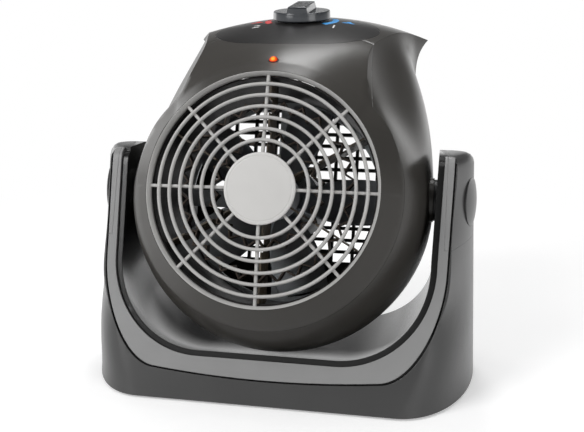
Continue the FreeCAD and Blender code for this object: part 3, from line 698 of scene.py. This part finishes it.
def joined(parts: Iterable[BMesh]) -> BMesh:
    """Put several meshes into one.

    Args:
        parts: The meshes, which are used up.

    Returns:
        The one mesh.
    """
    whole = bmesh.new()
    for part in parts:
        mesh = bpy.data.meshes.new("part")
        part.to_mesh(mesh)
        part.free()
        whole.from_mesh(mesh)
        bpy.data.meshes.remove(mesh)
    return whole


@dataclass(frozen=True)
class Pose:
    """Where the head sits on its tilt axis at rest, in millimetres and degrees."""

    pivot: Point = (0.0, -15.7, 127.0)
    pivot_back: float = 73.2
    pivot_up: float = 4.5
    tilt: float = 17.7

    def matrix(self) -> Matrix:
        """Place the head's own millimetres (across, back, up).

        Returns:
            The matrix to the frame's metres.
        """
        own = Matrix.Translation((0.0, -self.pivot_back, -self.pivot_up))
        lean = Matrix.Rotation(math.radians(-self.tilt), 4, "X")
        return Matrix.Scale(MM, 4) @ Matrix.Translation(self.pivot) @ lean @ own


class Bench:
    """Holds the frame and turns meshes into dressed pieces."""

    def __init__(self, frame: dict[str, Any]) -> None:
        """Keep the frame's nodes and the record's slots."""
        self.nodes: dict[str, bpy.types.Object] = frame["nodes"]
        self.slots = {s["node"]: s["material_slot"] for s in frame["record"]["subparts"]}

    def add(self, name: str, bm: BMesh, finish: Finish, body: str,
            stands_for: Sequence[str] = (), slot: str = "",
            angle: float = SHARP) -> bpy.types.Object:
        """Make a piece of a mesh.

        Args:
            name: The piece's name.
            bm: Its mesh, in metres, in place.
            finish: Its surface.
            body: The body that it rides on.
            stands_for: CAD nodes that it replaces.
            slot: The record's material slot, where it replaces none; not used.
            angle: Edges that turn more stay sharp.

        Returns:
            The piece.
        """
        smooth_by_angle(bm, angle)
        mesh = bpy.data.meshes.new(name)
        bm.to_mesh(mesh)
        bm.free()
        if "custom_normal" in mesh.attributes:
            mesh.attributes.remove(mesh.attributes["custom_normal"])
        mesh.materials.append(finish.material())
        piece = bpy.data.objects.new(name, mesh)
        bpy.context.scene.collection.objects.link(piece)
        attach(piece, body)
        if stands_for:
            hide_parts(*stands_for)
        log.info("piece %s on %s: %d faces", name, body, len(mesh.polygons))
        return piece

    def skin(self, node: str, finish: Finish, second: Finish | None = None,
             picked: Callable[[BMesh], Iterable[BMFace]] | None = None) -> None:
        """Stand a merged, smoothly shaded copy in for a CAD node.

        Args:
            node: The CAD node.
            finish: Its surface.
            second: Another surface for some of its faces.
            picked: Finds those faces.
        """
        source = self.nodes[node]
        bm = bmesh.new()
        bm.from_mesh(source.data)
        bmesh.ops.remove_doubles(bm, verts=bm.verts, dist=CAD_MERGE)
        for face in bm.faces:
            face.material_index = 0
        for face in picked(bm) if picked else ():
            face.material_index = 1
        piece = self.add(node + "_skin", bm, finish, source["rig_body"], (node,))
        if second:
            piece.data.materials.append(second.material())

    def tree(self, node: str) -> BVHTree:
        """A ray-cast tree of a CAD node."""
        mesh = self.nodes[node].data
        return BVHTree.FromPolygons([v.co for v in mesh.vertices],
                                    [p.vertices for p in mesh.polygons])


@dataclass
class Stand:
    """The yoke with its trim, caps, base and pivots, in metres.

    The channel and its lip are told from the outside by the way their faces turn; their darker
    finish is painted shade.
    """

    bench: Bench
    reach: float = 0.1085
    floor_half: float = 0.09
    wall_turn: float = 0.5
    floor_turn: float = 0.25
    floor_lean: float = 0.8
    lip_turn: float = 0.6
    lip_bend: float = 0.85

    def inside(self, bm: BMesh) -> set[BMFace]:
        """Find the channel that the head swings in, with the lip round its front, which take the
        darker finish of painted shade.

        Args:
            bm: A merged piece of the stand.

        Returns:
            The faces.
        """
        found: set[BMFace] = set()
        fronts = []
        for face in bm.faces:
            middle, normal = face.calc_center_median(), face.normal
            if abs(middle.x) >= self.reach:
                continue
            inward = -normal.x * math.copysign(1.0, middle.x)
            level = normal.z > self.floor_turn and abs(normal.y) < self.floor_lean
            if inward > self.wall_turn or level:
                found.add(face)
            if normal.y < -self.lip_turn and abs(inward) < self.wall_turn:
                low = abs(middle.x) < self.floor_half
                fronts.append(((low, middle.z if low else -abs(middle.x)), face))
        queue = [max(fronts, key=lambda item: item[0])[1]] if fronts else []
        while queue:
            face = queue.pop()
            found.add(face)
            beside = {other for edge in face.edges for other in edge.link_faces} - found
            queue += [other for other in beside if other.normal.dot(face.normal) > self.lip_bend]
        return found

    def build(self) -> None:
        """Dress every piece of the stand."""
        skin = self.bench.skin
        # the channel and its lip take the darker grey of painted shade
        skin("stand_shell", Look.STAND, Look.CHANNEL_SHADE, self.inside)
        skin("stand_front_band", Look.BAND)
        skin("base_plate", Look.BASE)
        skin("base_plate_screws", Look.STEEL)
        skin("rubber_feet", Look.RUBBER)
        for side in ("left", "right"):
            # the caps' channel faces take the same painted shade
            skin("arm_cap_" + side, Look.STAND, Look.CHANNEL_SHADE, self.inside)
            skin("arm_cap_trim_" + side, Look.BAND)
            skin("pivot_bush_" + side, Look.NYLON)
            skin("pivot_dome_" + side, Look.STAND)


@dataclass
class Housing:
    """The head's shells, rear grille and pivots."""

    bench: Bench

    def build(self) -> None:
        """Dress every piece of the housing."""
        skin = self.bench.skin
        skin("front_bezel", Look.SHELL)
        skin("head_shell", Look.SHELL)
        skin("rear_grille", Look.SHELL)
        skin("rear_grille_screws", Look.STEEL)
        skin("cord_gland", Look.SWITCH)
        for side in ("left", "right"):
            skin("pivot_washer_" + side, Look.SWITCH)
            skin("pivot_pin_" + side, Look.PIN)
            skin("spring_washer_" + side, Look.PIN)
            skin("lock_nut_" + side, Look.PIN)


@dataclass
class Grille:
    """The round front grille and its middle disc, in the head's millimetres.

    Points of rim_front and disc_front are (in from the edge, back from the front).
    """

    bench: Bench
    pose: Pose
    rings: int = 6
    first: float = 30.1
    pitch: float = 7.12
    bar: float = 2.3
    bar_sides: int = 14
    ring_steps: int = 112
    depth: float = 3.0
    bow: float = 4.0
    spokes: int = 8
    spoke: float = 2.0
    spoke_root: float = 4.0
    spoke_gap: float = 0.2
    spoke_bite: float = 0.8
    spoke_taper: float = 0.4
    spoke_round: float = 0.45
    spoke_end: float = 2.6
    rim: Span = (71.5, 73.5)
    rim_run: Span = (-0.3, 5.1)
    rim_front: Profile = ((2.0, 2.9), (1.9, 2.6), (0.5, 0.3), (0.3, 0.1), (0.1, 0.0), (0.0, 0.2))
    disc: float = 22.4
    disc_front: Profile = ((2.6, 0.0), (2.2, 0.25), (1.8, 0.0), (0.7, 0.0), (0.2, 0.2), (0.0, 0.7))
    plate: float = 1.8
    hub_inset: float = 1.0
    hub_depth: float = 3.0
    hub_round: float = 0.4
    hub_steps: int = 96
    edge_steps: int = 128
    sharp: float = 45.0

    def face(self, radius: float) -> float:
        """How far back the grille's front lies at a radius."""
        last = self.first + self.pitch * (self.rings - 1)
        return -self.bow * (1.0 - (radius / last) ** 2)

    def ring(self, radius: float) -> BMesh:
        """One round bar of the grille.

        Args:
            radius: The bar's middle.

        Returns:
            The ring.
        """
        bm = bmesh.new()
        bmesh.ops.create_circle(bm, segments=self.bar_sides, radius=0.5)
        bmesh.ops.scale(bm, vec=(self.bar, self.depth, 1.0), verts=bm.verts)
        middle = (radius, self.face(radius) + self.depth / 2, 0.0)
        bmesh.ops.translate(bm, vec=middle, verts=bm.verts)
        bmesh.ops.spin(bm, geom=bm.verts[:] + bm.edges[:], cent=(0, 0, 0), axis=(0, 1, 0),
                       angle=math.tau, steps=self.ring_steps, use_merge=True)
        closed(bm)
        return bm

    def arm(self, index: int) -> BMesh:
        """One spoke, from under the disc to the rim.

        Args:
            index: Which spoke, counted round.

        Returns:
            The spoke.
        """
        bm = bmesh.new()
        bmesh.ops.create_cube(bm, size=1.0)
        near, far = self.disc - self.spoke_root, self.rim[0] + self.spoke_bite
        start = self.face(self.disc) + self.plate + self.spoke_gap
        for vert in bm.verts:
            share = vert.co.x + 0.5
            front = start + (self.spoke_end - start) * share
            thick = self.depth - self.spoke_taper * share
            along = near + (far - near) * share
            vert.co = (along, front + (vert.co.y + 0.5) * thick, vert.co.z * self.spoke)
        bmesh.ops.bevel(bm, geom=bm.edges[:], offset=self.spoke_round, segments=2, profile=0.5,
                        affect="EDGES", material=-1)
        return moved(bm, Matrix.Rotation(math.tau * index / self.spokes, 4, "Y"))

    def edging(self) -> BMesh:
        """The rim, whose front slants in towards the bars.

        Returns:
            The rim.
        """
        (inner, outer), (low, high) = self.rim, self.rim_run
        front = [(outer - inset, low + back) for inset, back in self.rim_front]
        return turned(front + [(outer, high), (inner, high)], self.edge_steps, True)

    def hub(self, front: float) -> BMesh:
        """The boss behind the disc, which carries the spokes.

        Args:
            front: Where it starts.

        Returns:
            The boss.
        """
        radius, back = self.disc - self.hub_inset, front + self.hub_depth
        profile = [(0.0, front), (radius, front), (radius, back - self.hub_round),
                   (radius - self.hub_round, back), (0.0, back)]
        return turned(profile, self.hub_steps)

    def build(self) -> None:
        """Make the grille and its disc."""
        front = self.face(self.disc)
        back = front + self.plate
        parts = [self.ring(self.first + self.pitch * k) for k in range(self.rings)]
        parts += [self.arm(k) for k in range(self.spokes)] + [self.edging(), self.hub(back)]
        bars = moved(joined(parts), self.pose.matrix())
        self.bench.add("front_grille_bars", bars, Look.GRILLE, "head", ("front_grille",),
                       angle=self.sharp)
        edge = [(self.disc - inset, front + step) for inset, step in self.disc_front]
        profile = [(0.0, front)] + edge + [(self.disc, back), (0.0, back)]
        disc = moved(turned(profile, self.edge_steps), self.pose.matrix())
        self.bench.add("grille_disc_cap", disc, Look.DISC, "head", ("grille_disc",))


@dataclass
class Knob:
    """The round selector knob with a bar across it, in millimetres above the dial.

    Points of lower are (in from the radius, up from the foot), and those of upper are (in from
    the radius, down from the base's top).
    """

    radius: float = 21.4
    bore: float = 3.4
    foot: float = 0.35
    base: float = 6.6
    lower: Profile = ((0.5, 0.0), (0.0, 0.6))
    upper: Profile = ((0.25, 0.7), (0.45, 0.25), (0.9, 0.0), (1.2, 0.0))
    sides: int = 128
    grip_top: float = 11.4
    grip_half: float = 8.2
    grip_sink: float = 1.6
    grip_inset: Span = (0.26, 0.45)
    grip_taper: float = 0.83
    grip_spread: float = 0.1
    grip_edge: float = 0.9
    grip_flat: float = 0.3
    edge_steps: int = 4
    sharp: float = 28.0

    def round_base(self) -> BMesh:
        """The round base.

        Returns:
            The base, upright.
        """
        profile = [(self.bore, self.foot)]
        profile += [(self.radius - inset, self.foot + up) for inset, up in self.lower]
        profile += [(self.radius - inset, self.base - down) for inset, down in self.upper]
        profile += [(self.bore, self.base)]
        base = turned(profile, self.sides, True)
        return moved(base, Matrix.Rotation(math.pi / 2, 4, "X"))

    def layers(self) -> list[tuple[float, float, float]]:
        """The outlines of the bar, from its wall over the rounded edge to its flat top.

        Returns:
            Height, half width and half length of each outline.
        """
        top, edge, flat = self.grip_top, self.grip_edge, self.grip_flat
        half, reach = self.grip_half * self.grip_taper, self.radius - self.grip_inset[1]
        rows = [(top - edge - flat, half + self.grip_spread, reach), (top - edge, half, reach)]
        for step in range(1, self.edge_steps + 1):
            turn = step * math.pi / 2 / self.edge_steps
            inset = edge * (1.0 - math.cos(turn))
            rows.append((top - edge * (1.0 - math.sin(turn)), half - inset, reach - inset))
        return rows + [(top, half - edge - flat, reach - edge - flat)]

    def grip(self) -> BMesh:
        """The bar, flush with the base at its front and back.

        Returns:
            The bar.
        """
        bm = bmesh.new()
        reach, low = self.radius - self.grip_inset[0], self.base - self.grip_sink
        bmesh.ops.create_circle(bm, cap_ends=True, segments=self.sides, radius=reach)
        for side in (1.0, -1.0):
            bmesh.ops.bisect_plane(bm, geom=bm.verts[:] + bm.edges[:] + bm.faces[:],
                                   plane_co=(side * self.grip_half, 0, 0),
                                   plane_no=(side, 0, 0), clear_outer=True)
        bmesh.ops.translate(bm, vec=(0, 0, low), verts=bm.verts)
        cap = next(iter(bm.faces))
        height, half, length = low, self.grip_half, reach
        for row in self.layers():
            raised = bmesh.ops.extrude_face_region(bm, geom=[cap])["geom"]
            verts = [item for item in raised if isinstance(item, bmesh.types.BMVert)]
            cap = next(item for item in raised if isinstance(item, BMFace))
            bmesh.ops.translate(bm, vec=(0, 0, row[0] - height), verts=verts)
            bmesh.ops.scale(bm, vec=(row[1] / half, row[2] / length, 1.0), verts=verts)
            height, half, length = row
        closed(bm)
        return bm

    def mesh(self) -> BMesh:
        """The whole knob, in the dial's metres."""
        return moved(joined([self.round_base(), self.grip()]), Matrix.Scale(MM, 4))


@dataclass
class Controls:
    """The dial panel, its print, the knob and the lamp, in metres.

    Points of collar are (out from the lens, along its axis).
    """

    bench: Bench
    seat: Point = (0.0, 0.05371, 0.24649)
    axis: Point = (0.0, -0.12938, 0.99159)
    film: float = 0.00007
    drop: float = 0.03
    band_radius: float = 0.0256
    band_points: int = 5
    band_steps: int = 14
    figure: float = 0.0092
    figure_em: float = 1.4
    sign: float = 0.0046
    lobes: int = 3
    lobe_sides: int = 14
    lobe_radius: float = 0.48
    lobe_reach: float = 0.55
    lobe_shape: Point = (1.25, 0.8, 1.0)
    lens: Point = (0.0, -0.04687, 0.22074)
    lens_axis: Point = (0.0, -0.35894, 0.93336)
    lens_radius: float = 0.0029
    spark_up: float = 0.0013
    spark_forward: float = 0.0019
    collar: Profile = ((0.00002, -0.0004), (0.00002, 0.0002), (0.0002, 0.0003), (0.0005, 0.0002),
                       (0.0007, -0.0001), (0.0007, -0.0004))
    collar_steps: int = 48

    def dial(self) -> Matrix:
        """Place the dial's own metres (across, back, out).

        Returns:
            The matrix to the frame.
        """
        out = Vector(self.axis).normalized()
        across = Vector((1.0, 0.0, 0.0))
        back = out.cross(across)
        turn = Matrix((across, back, out)).transposed().to_4x4()
        return Matrix.Translation(self.seat) @ turn

    def print_on(self, name: str, bm: BMesh, ink: Ink, tree: BVHTree) -> None:
        """Lay a flat mark, drawn on the dial, on the panel's surface.

        Args:
            name: The mark's name.
            bm: The mark, in the dial's metres.
            ink: Its colour.
            tree: The panel.
        """
        wrong = [face for face in bm.faces if face.normal.z < 0.0]
        bmesh.ops.reverse_faces(bm, faces=wrong)
        moved(bm, self.dial())
        out = Vector(self.axis).normalized()
        for vert in bm.verts:
            hit = tree.ray_cast(vert.co + out * self.drop, -out)[0]
            if hit is not None:
                vert.co = hit + out * self.film
        self.bench.add(name, bm, ink, "head", slot="panel_black")

    def arc(self, width: float, start: float, end: float) -> BMesh:
        """A band of a ring round the knob.

        Args:
            width: Width of the band.
            start: First angle in degrees, 0 to the right and 90 to the back.
            end: Last angle.

        Returns:
            The flat band.
        """
        bm = bmesh.new()
        first = math.radians(start)
        ray = Vector((math.cos(first), math.sin(first), 0.0))
        shares = [k / (self.band_points - 1) - 0.5 for k in range(self.band_points)]
        geom = outline(bm, [ray * (self.band_radius + width * share) for share in shares], False)
        bmesh.ops.spin(bm, geom=geom, cent=(0, 0, 0), axis=(0, 0, 1),
                       angle=math.radians(end - start), steps=self.band_steps)
        closed(bm)
        return bm

    def numeral(self, figure: str, place: Span) -> BMesh:
        """A plain figure of the dial.

        Args:
            figure: The digit.
            place: Its middle on the dial.

        Returns:
            The flat figure.
        """
        curve = bpy.data.curves.new("figure", "FONT")
        curve.body = figure
        curve.size = self.figure * self.figure_em
        curve.align_x, curve.align_y = "CENTER", "CENTER"
        holder = bpy.data.objects.new("figure", curve)
        bpy.context.scene.collection.objects.link(holder)
        bpy.context.view_layer.update()
        drawn = holder.evaluated_get(bpy.context.evaluated_depsgraph_get())
        mesh = bpy.data.meshes.new_from_object(drawn)
        bm = bmesh.new()
        bm.from_mesh(mesh)
        bpy.data.objects.remove(holder)
        bpy.data.curves.remove(curve)
        bpy.data.meshes.remove(mesh)
        return moved(bm, Matrix.Translation((*place, 0.0)))

    def blob(self, place: Span) -> BMesh:
        """A small sign of round lobes.

        Args:
            place: Its middle on the dial.

        Returns:
            The flat sign.
        """
        parts = []
        for k in range(self.lobes):
            bm = bmesh.new()
            bmesh.ops.create_circle(bm, cap_ends=True, segments=self.lobe_sides,
                                    radius=self.sign * self.lobe_radius)
            bmesh.ops.scale(bm, vec=self.lobe_shape, verts=bm.verts)
            bmesh.ops.translate(bm, vec=(self.sign * self.lobe_reach, 0.0, 0.0), verts=bm.verts)
            turn = math.tau * k / self.lobes + math.pi / 2
            parts.append(moved(bm, Matrix.Rotation(turn, 4, "Z")))
        return moved(joined(parts), Matrix.Translation((*place, 0.0)))

    def marks(self) -> None:
        """Print the dial: a band, a sign and a figure on each side."""
        tree = self.bench.tree("control_panel")
        for name, mark, ink in (
            ("dial_heat_band", self.arc(0.0044, start=172, end=213), Look.RED),
            ("dial_cool_band", self.arc(0.0046, start=-42, end=30), Look.BLUE),
            ("dial_heat_sign", self.blob((-0.0335, -0.0025)), Look.RED),
            ("dial_cool_sign", self.blob((0.0356, -0.0028)), Look.BLUE),
            ("dial_figure_heat", self.numeral("2", (-0.0300, -0.0222)), Look.WHITE),
            ("dial_figure_cool", self.numeral("1", (0.0272, -0.0232)), Look.WHITE),
        ):
            self.print_on(name, mark, ink, tree)

    def lamp(self) -> None:
        """The lit lens and its dark collar."""
        out = Vector(self.lens_axis).normalized()
        spark = Vector(self.lens) + out * self.spark_up + Vector((0.0, -self.spark_forward, 0.0))
        glow = Glow("lens_red", tuple(spark), self.lens_radius, core=srgb(255, 206, 70),
                    body=srgb(255, 74, 16), rim=srgb(104, 10, 6))
        self.bench.skin("indicator_lens", glow)
        self.bench.skin("indicator_lamp", Look.CLEAR)
        profile = [(self.lens_radius + wide, along) for wide, along in self.collar]
        turn = Vector((0, 1, 0)).rotation_difference(out).to_matrix().to_4x4()
        collar = moved(turned(profile, self.collar_steps, True),
                       Matrix.Translation(self.lens) @ turn)
        self.bench.add("lens_collar", collar, Look.SWITCH, "head", slot="switch_black")

    def build(self) -> None:
        """Dress the controls and print the dial."""
        skin = self.bench.skin
        skin("control_panel", Look.PANEL)
        knob = Knob()
        self.bench.add("selector_knob_bar", moved(knob.mesh(), self.dial()), Look.KNOB, "selector",
                       ("selector_knob",), angle=knob.sharp)
        skin("selector_shaft", Look.STEEL)
        skin("rotary_switch", Look.SWITCH)
        self.marks()
        self.lamp()


@dataclass
class AirMover:
    """The duct, fan, motor and heater inside the head."""

    bench: Bench

    def build(self) -> None:
        """Dress the inner pieces."""
        finishes = {
            "air_duct": Look.DARK_DUCT, "motor_bracket": Look.SHEET,
            "fan_motor": Look.MOTOR, "motor_screws": Look.STEEL,
            "bracket_screws": Look.STEEL, "terminal_block": Look.NYLON,
            "tip_over_switch": Look.SWITCH, "mica_frame": Look.MICA,
            "heating_ribbon_inner": Look.RIBBON, "heating_ribbon_outer": Look.RIBBON,
            "thermal_cutout": Look.CERAMIC, "fan_blades": Look.BLADE,
            "motor_shaft": Look.STEEL, "fan_lock_nut": Look.STEEL,
        }
        for node, finish in finishes.items():
            self.bench.skin(node, finish)


@dataclass(frozen=True)
class Softbox:
    """One soft lamp: its middle and size in metres, and its watts."""

    name: str
    place: Point
    size: Span
    power: float


@dataclass
class Studio:
    """Camera, soft lamps, pale floor and white surroundings, in metres."""

    eye: Point = (0.1104, -0.5536, 0.2424)
    target: Point = (0.0181, -0.0787, 0.1269)
    lens: float = 49.3
    sensor: float = 36.0
    clip: Span = (0.01, 50.0)
    aim: Point = (0.0, 0.0, 0.13)
    lamps: tuple[Softbox, ...] = (
        Softbox("key", (-0.9, -1.0, 0.9), (0.7, 1.2), 16.0),
        Softbox("top", (0.1, -0.15, 1.1), (0.5, 0.4), 0.7),
        Softbox("side", (0.95, -0.75, 0.5), (0.6, 0.8), 4.5),
        Softbox("rear", (-0.04, 0.52, 1.02), (0.26, 0.4), 3.0),
        Softbox("back", (0.3, 1.3, 0.32), (1.6, 0.5), 1.2),
        Softbox("fill", (-1.15, 0.9, 0.5), (0.6, 0.7), 2.0),
    )
    ambient: float = 0.34
    ceiling: float = 0.1
    ceiling_span: Span = (0.04, 0.34)
    floor_half: float = 6.0
    fibre: float = 60.0
    paper_dark: Colour = (0.84, 0.84, 0.845)
    paper_pale: Colour = (0.88, 0.88, 0.88)
    bounce: Colour = (0.42, 0.42, 0.42)
    lift: float = 0.32
    fade: Span = (0.3, 0.7)

    def camera(self) -> None:
        """Set the camera at the photograph's place."""
        data = bpy.data.cameras.new("camera")
        data.lens, data.sensor_width, data.sensor_fit = self.lens, self.sensor, "HORIZONTAL"
        data.clip_start, data.clip_end = self.clip
        camera = bpy.data.objects.new("camera", data)
        camera.location = self.eye
        look = Vector(self.target) - Vector(self.eye)
        camera.rotation_euler = look.to_track_quat("-Z", "Y").to_euler()
        bpy.context.scene.collection.objects.link(camera)
        bpy.context.scene.camera = camera

    def lamp(self, box: Softbox) -> None:
        """Hang one softbox that faces the heater.

        Args:
            box: The lamp's name, place, size and power.
        """
        data = bpy.data.lights.new(box.name, "AREA")
        data.shape, data.energy = "RECTANGLE", box.power
        data.size, data.size_y = box.size
        lamp = bpy.data.objects.new(box.name, data)
        lamp.location = box.place
        look = Vector(self.aim) - Vector(box.place)
        lamp.rotation_euler = look.to_track_quat("-Z", "Y").to_euler()
        bpy.context.scene.collection.objects.link(lamp)

    @staticmethod
    def seen(graph: Graph) -> Sock:
        """Tell the rays that show the background: from the camera, a gloss or a glass.

        Args:
            graph: The nodes of the floor or the world.

        Returns:
            1 for those rays and 0 for light that falls on something.
        """
        camera = graph.node("ShaderNodeLightPath", out="Is Camera Ray")
        outputs = camera.socket.node.outputs
        gloss = Sock(graph, outputs["Is Glossy Ray"])
        glass = Sock(graph, outputs["Is Transmission Ray"])
        return camera.most(gloss).most(glass)

    def world(self) -> None:
        """White surroundings with a plain ambient light and a darker ceiling for gloss."""
        world = bpy.data.worlds.new("studio")
        graph = Graph.blank(world)
        heading = graph.node("ShaderNodeTexCoord", out="Generated")
        up = graph.node("ShaderNodeSeparateXYZ", None, {0: heading}, "Z")
        walls = 1.0 - up.step(*self.ceiling_span) * (1.0 - self.ceiling)
        camera = graph.node("ShaderNodeLightPath", out="Is Camera Ray")
        strength = self.ambient + self.seen(graph) * (camera.most(walls) - self.ambient)
        inputs = {"Color": WHITE_LIGHT, "Strength": strength}
        light = graph.node("ShaderNodeBackground", None, inputs)
        graph.node("ShaderNodeOutputWorld", None, {"Surface": light})
        bpy.context.scene.world = world

    def paper(self) -> bpy.types.Material:
        """The floor's paper, which keeps the shadow and fades into the white.

        Returns:
            The material.
        """
        made = bpy.data.materials.new("floor_paper")
        graph = Graph.blank(made)
        tone = graph.mix(graph.noise(self.fibre, detail=4.0), self.paper_dark, self.paper_pale)
        matt = graph.node("ShaderNodeBsdfDiffuse", None, {"Color": tone})
        lift, white = (
            graph.node("ShaderNodeEmission", None, {"Color": WHITE_LIGHT, "Strength": strength})
            for strength in (self.lift, 1.0)
        )
        lit = graph.node("ShaderNodeAddShader", None, {0: matt, 1: lift})
        away = graph.node("ShaderNodeVectorMath", {"operation": "LENGTH"},
                          {0: graph.place()}, "Value")
        faded = {0: away.step(*self.fade), 1: lit, 2: white}
        shown = graph.node("ShaderNodeMixShader", None, faded)
        bounce = graph.node("ShaderNodeBsdfDiffuse", None, {"Color": self.bounce})
        by_ray = {0: self.seen(graph), 1: bounce, 2: shown}
        surface = graph.node("ShaderNodeMixShader", None, by_ray)
        graph.node("ShaderNodeOutputMaterial", None, {"Surface": surface})
        return made

    def floor(self) -> None:
        """Lay a plain pale floor."""
        bm = bmesh.new()
        bmesh.ops.create_grid(bm, x_segments=2, y_segments=2, size=self.floor_half)
        mesh = bpy.data.meshes.new("floor")
        bm.to_mesh(mesh)
        bm.free()
        mesh.materials.append(self.paper())
        floor = bpy.data.objects.new("floor", mesh)
        bpy.context.scene.collection.objects.link(floor)

    def build(self) -> None:
        """Set the studio up."""
        self.camera()
        self.world()
        self.floor()
        for box in self.lamps:
            self.lamp(box)
        bpy.context.scene.view_settings.view_transform = "Standard"


def main() -> None:
    """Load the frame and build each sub-assembly."""
    logging.basicConfig(level=logging.INFO, format="%(name)s: %(message)s")
    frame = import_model()
    bench = Bench(frame)
    Studio().build()
    for part in (Stand(bench), Housing(bench), Grille(bench, Pose()), Controls(bench),
                 AirMover(bench)):
        part.build()
        log.info("built %s", type(part).__name__)


if __name__ == "__main__":
    main()
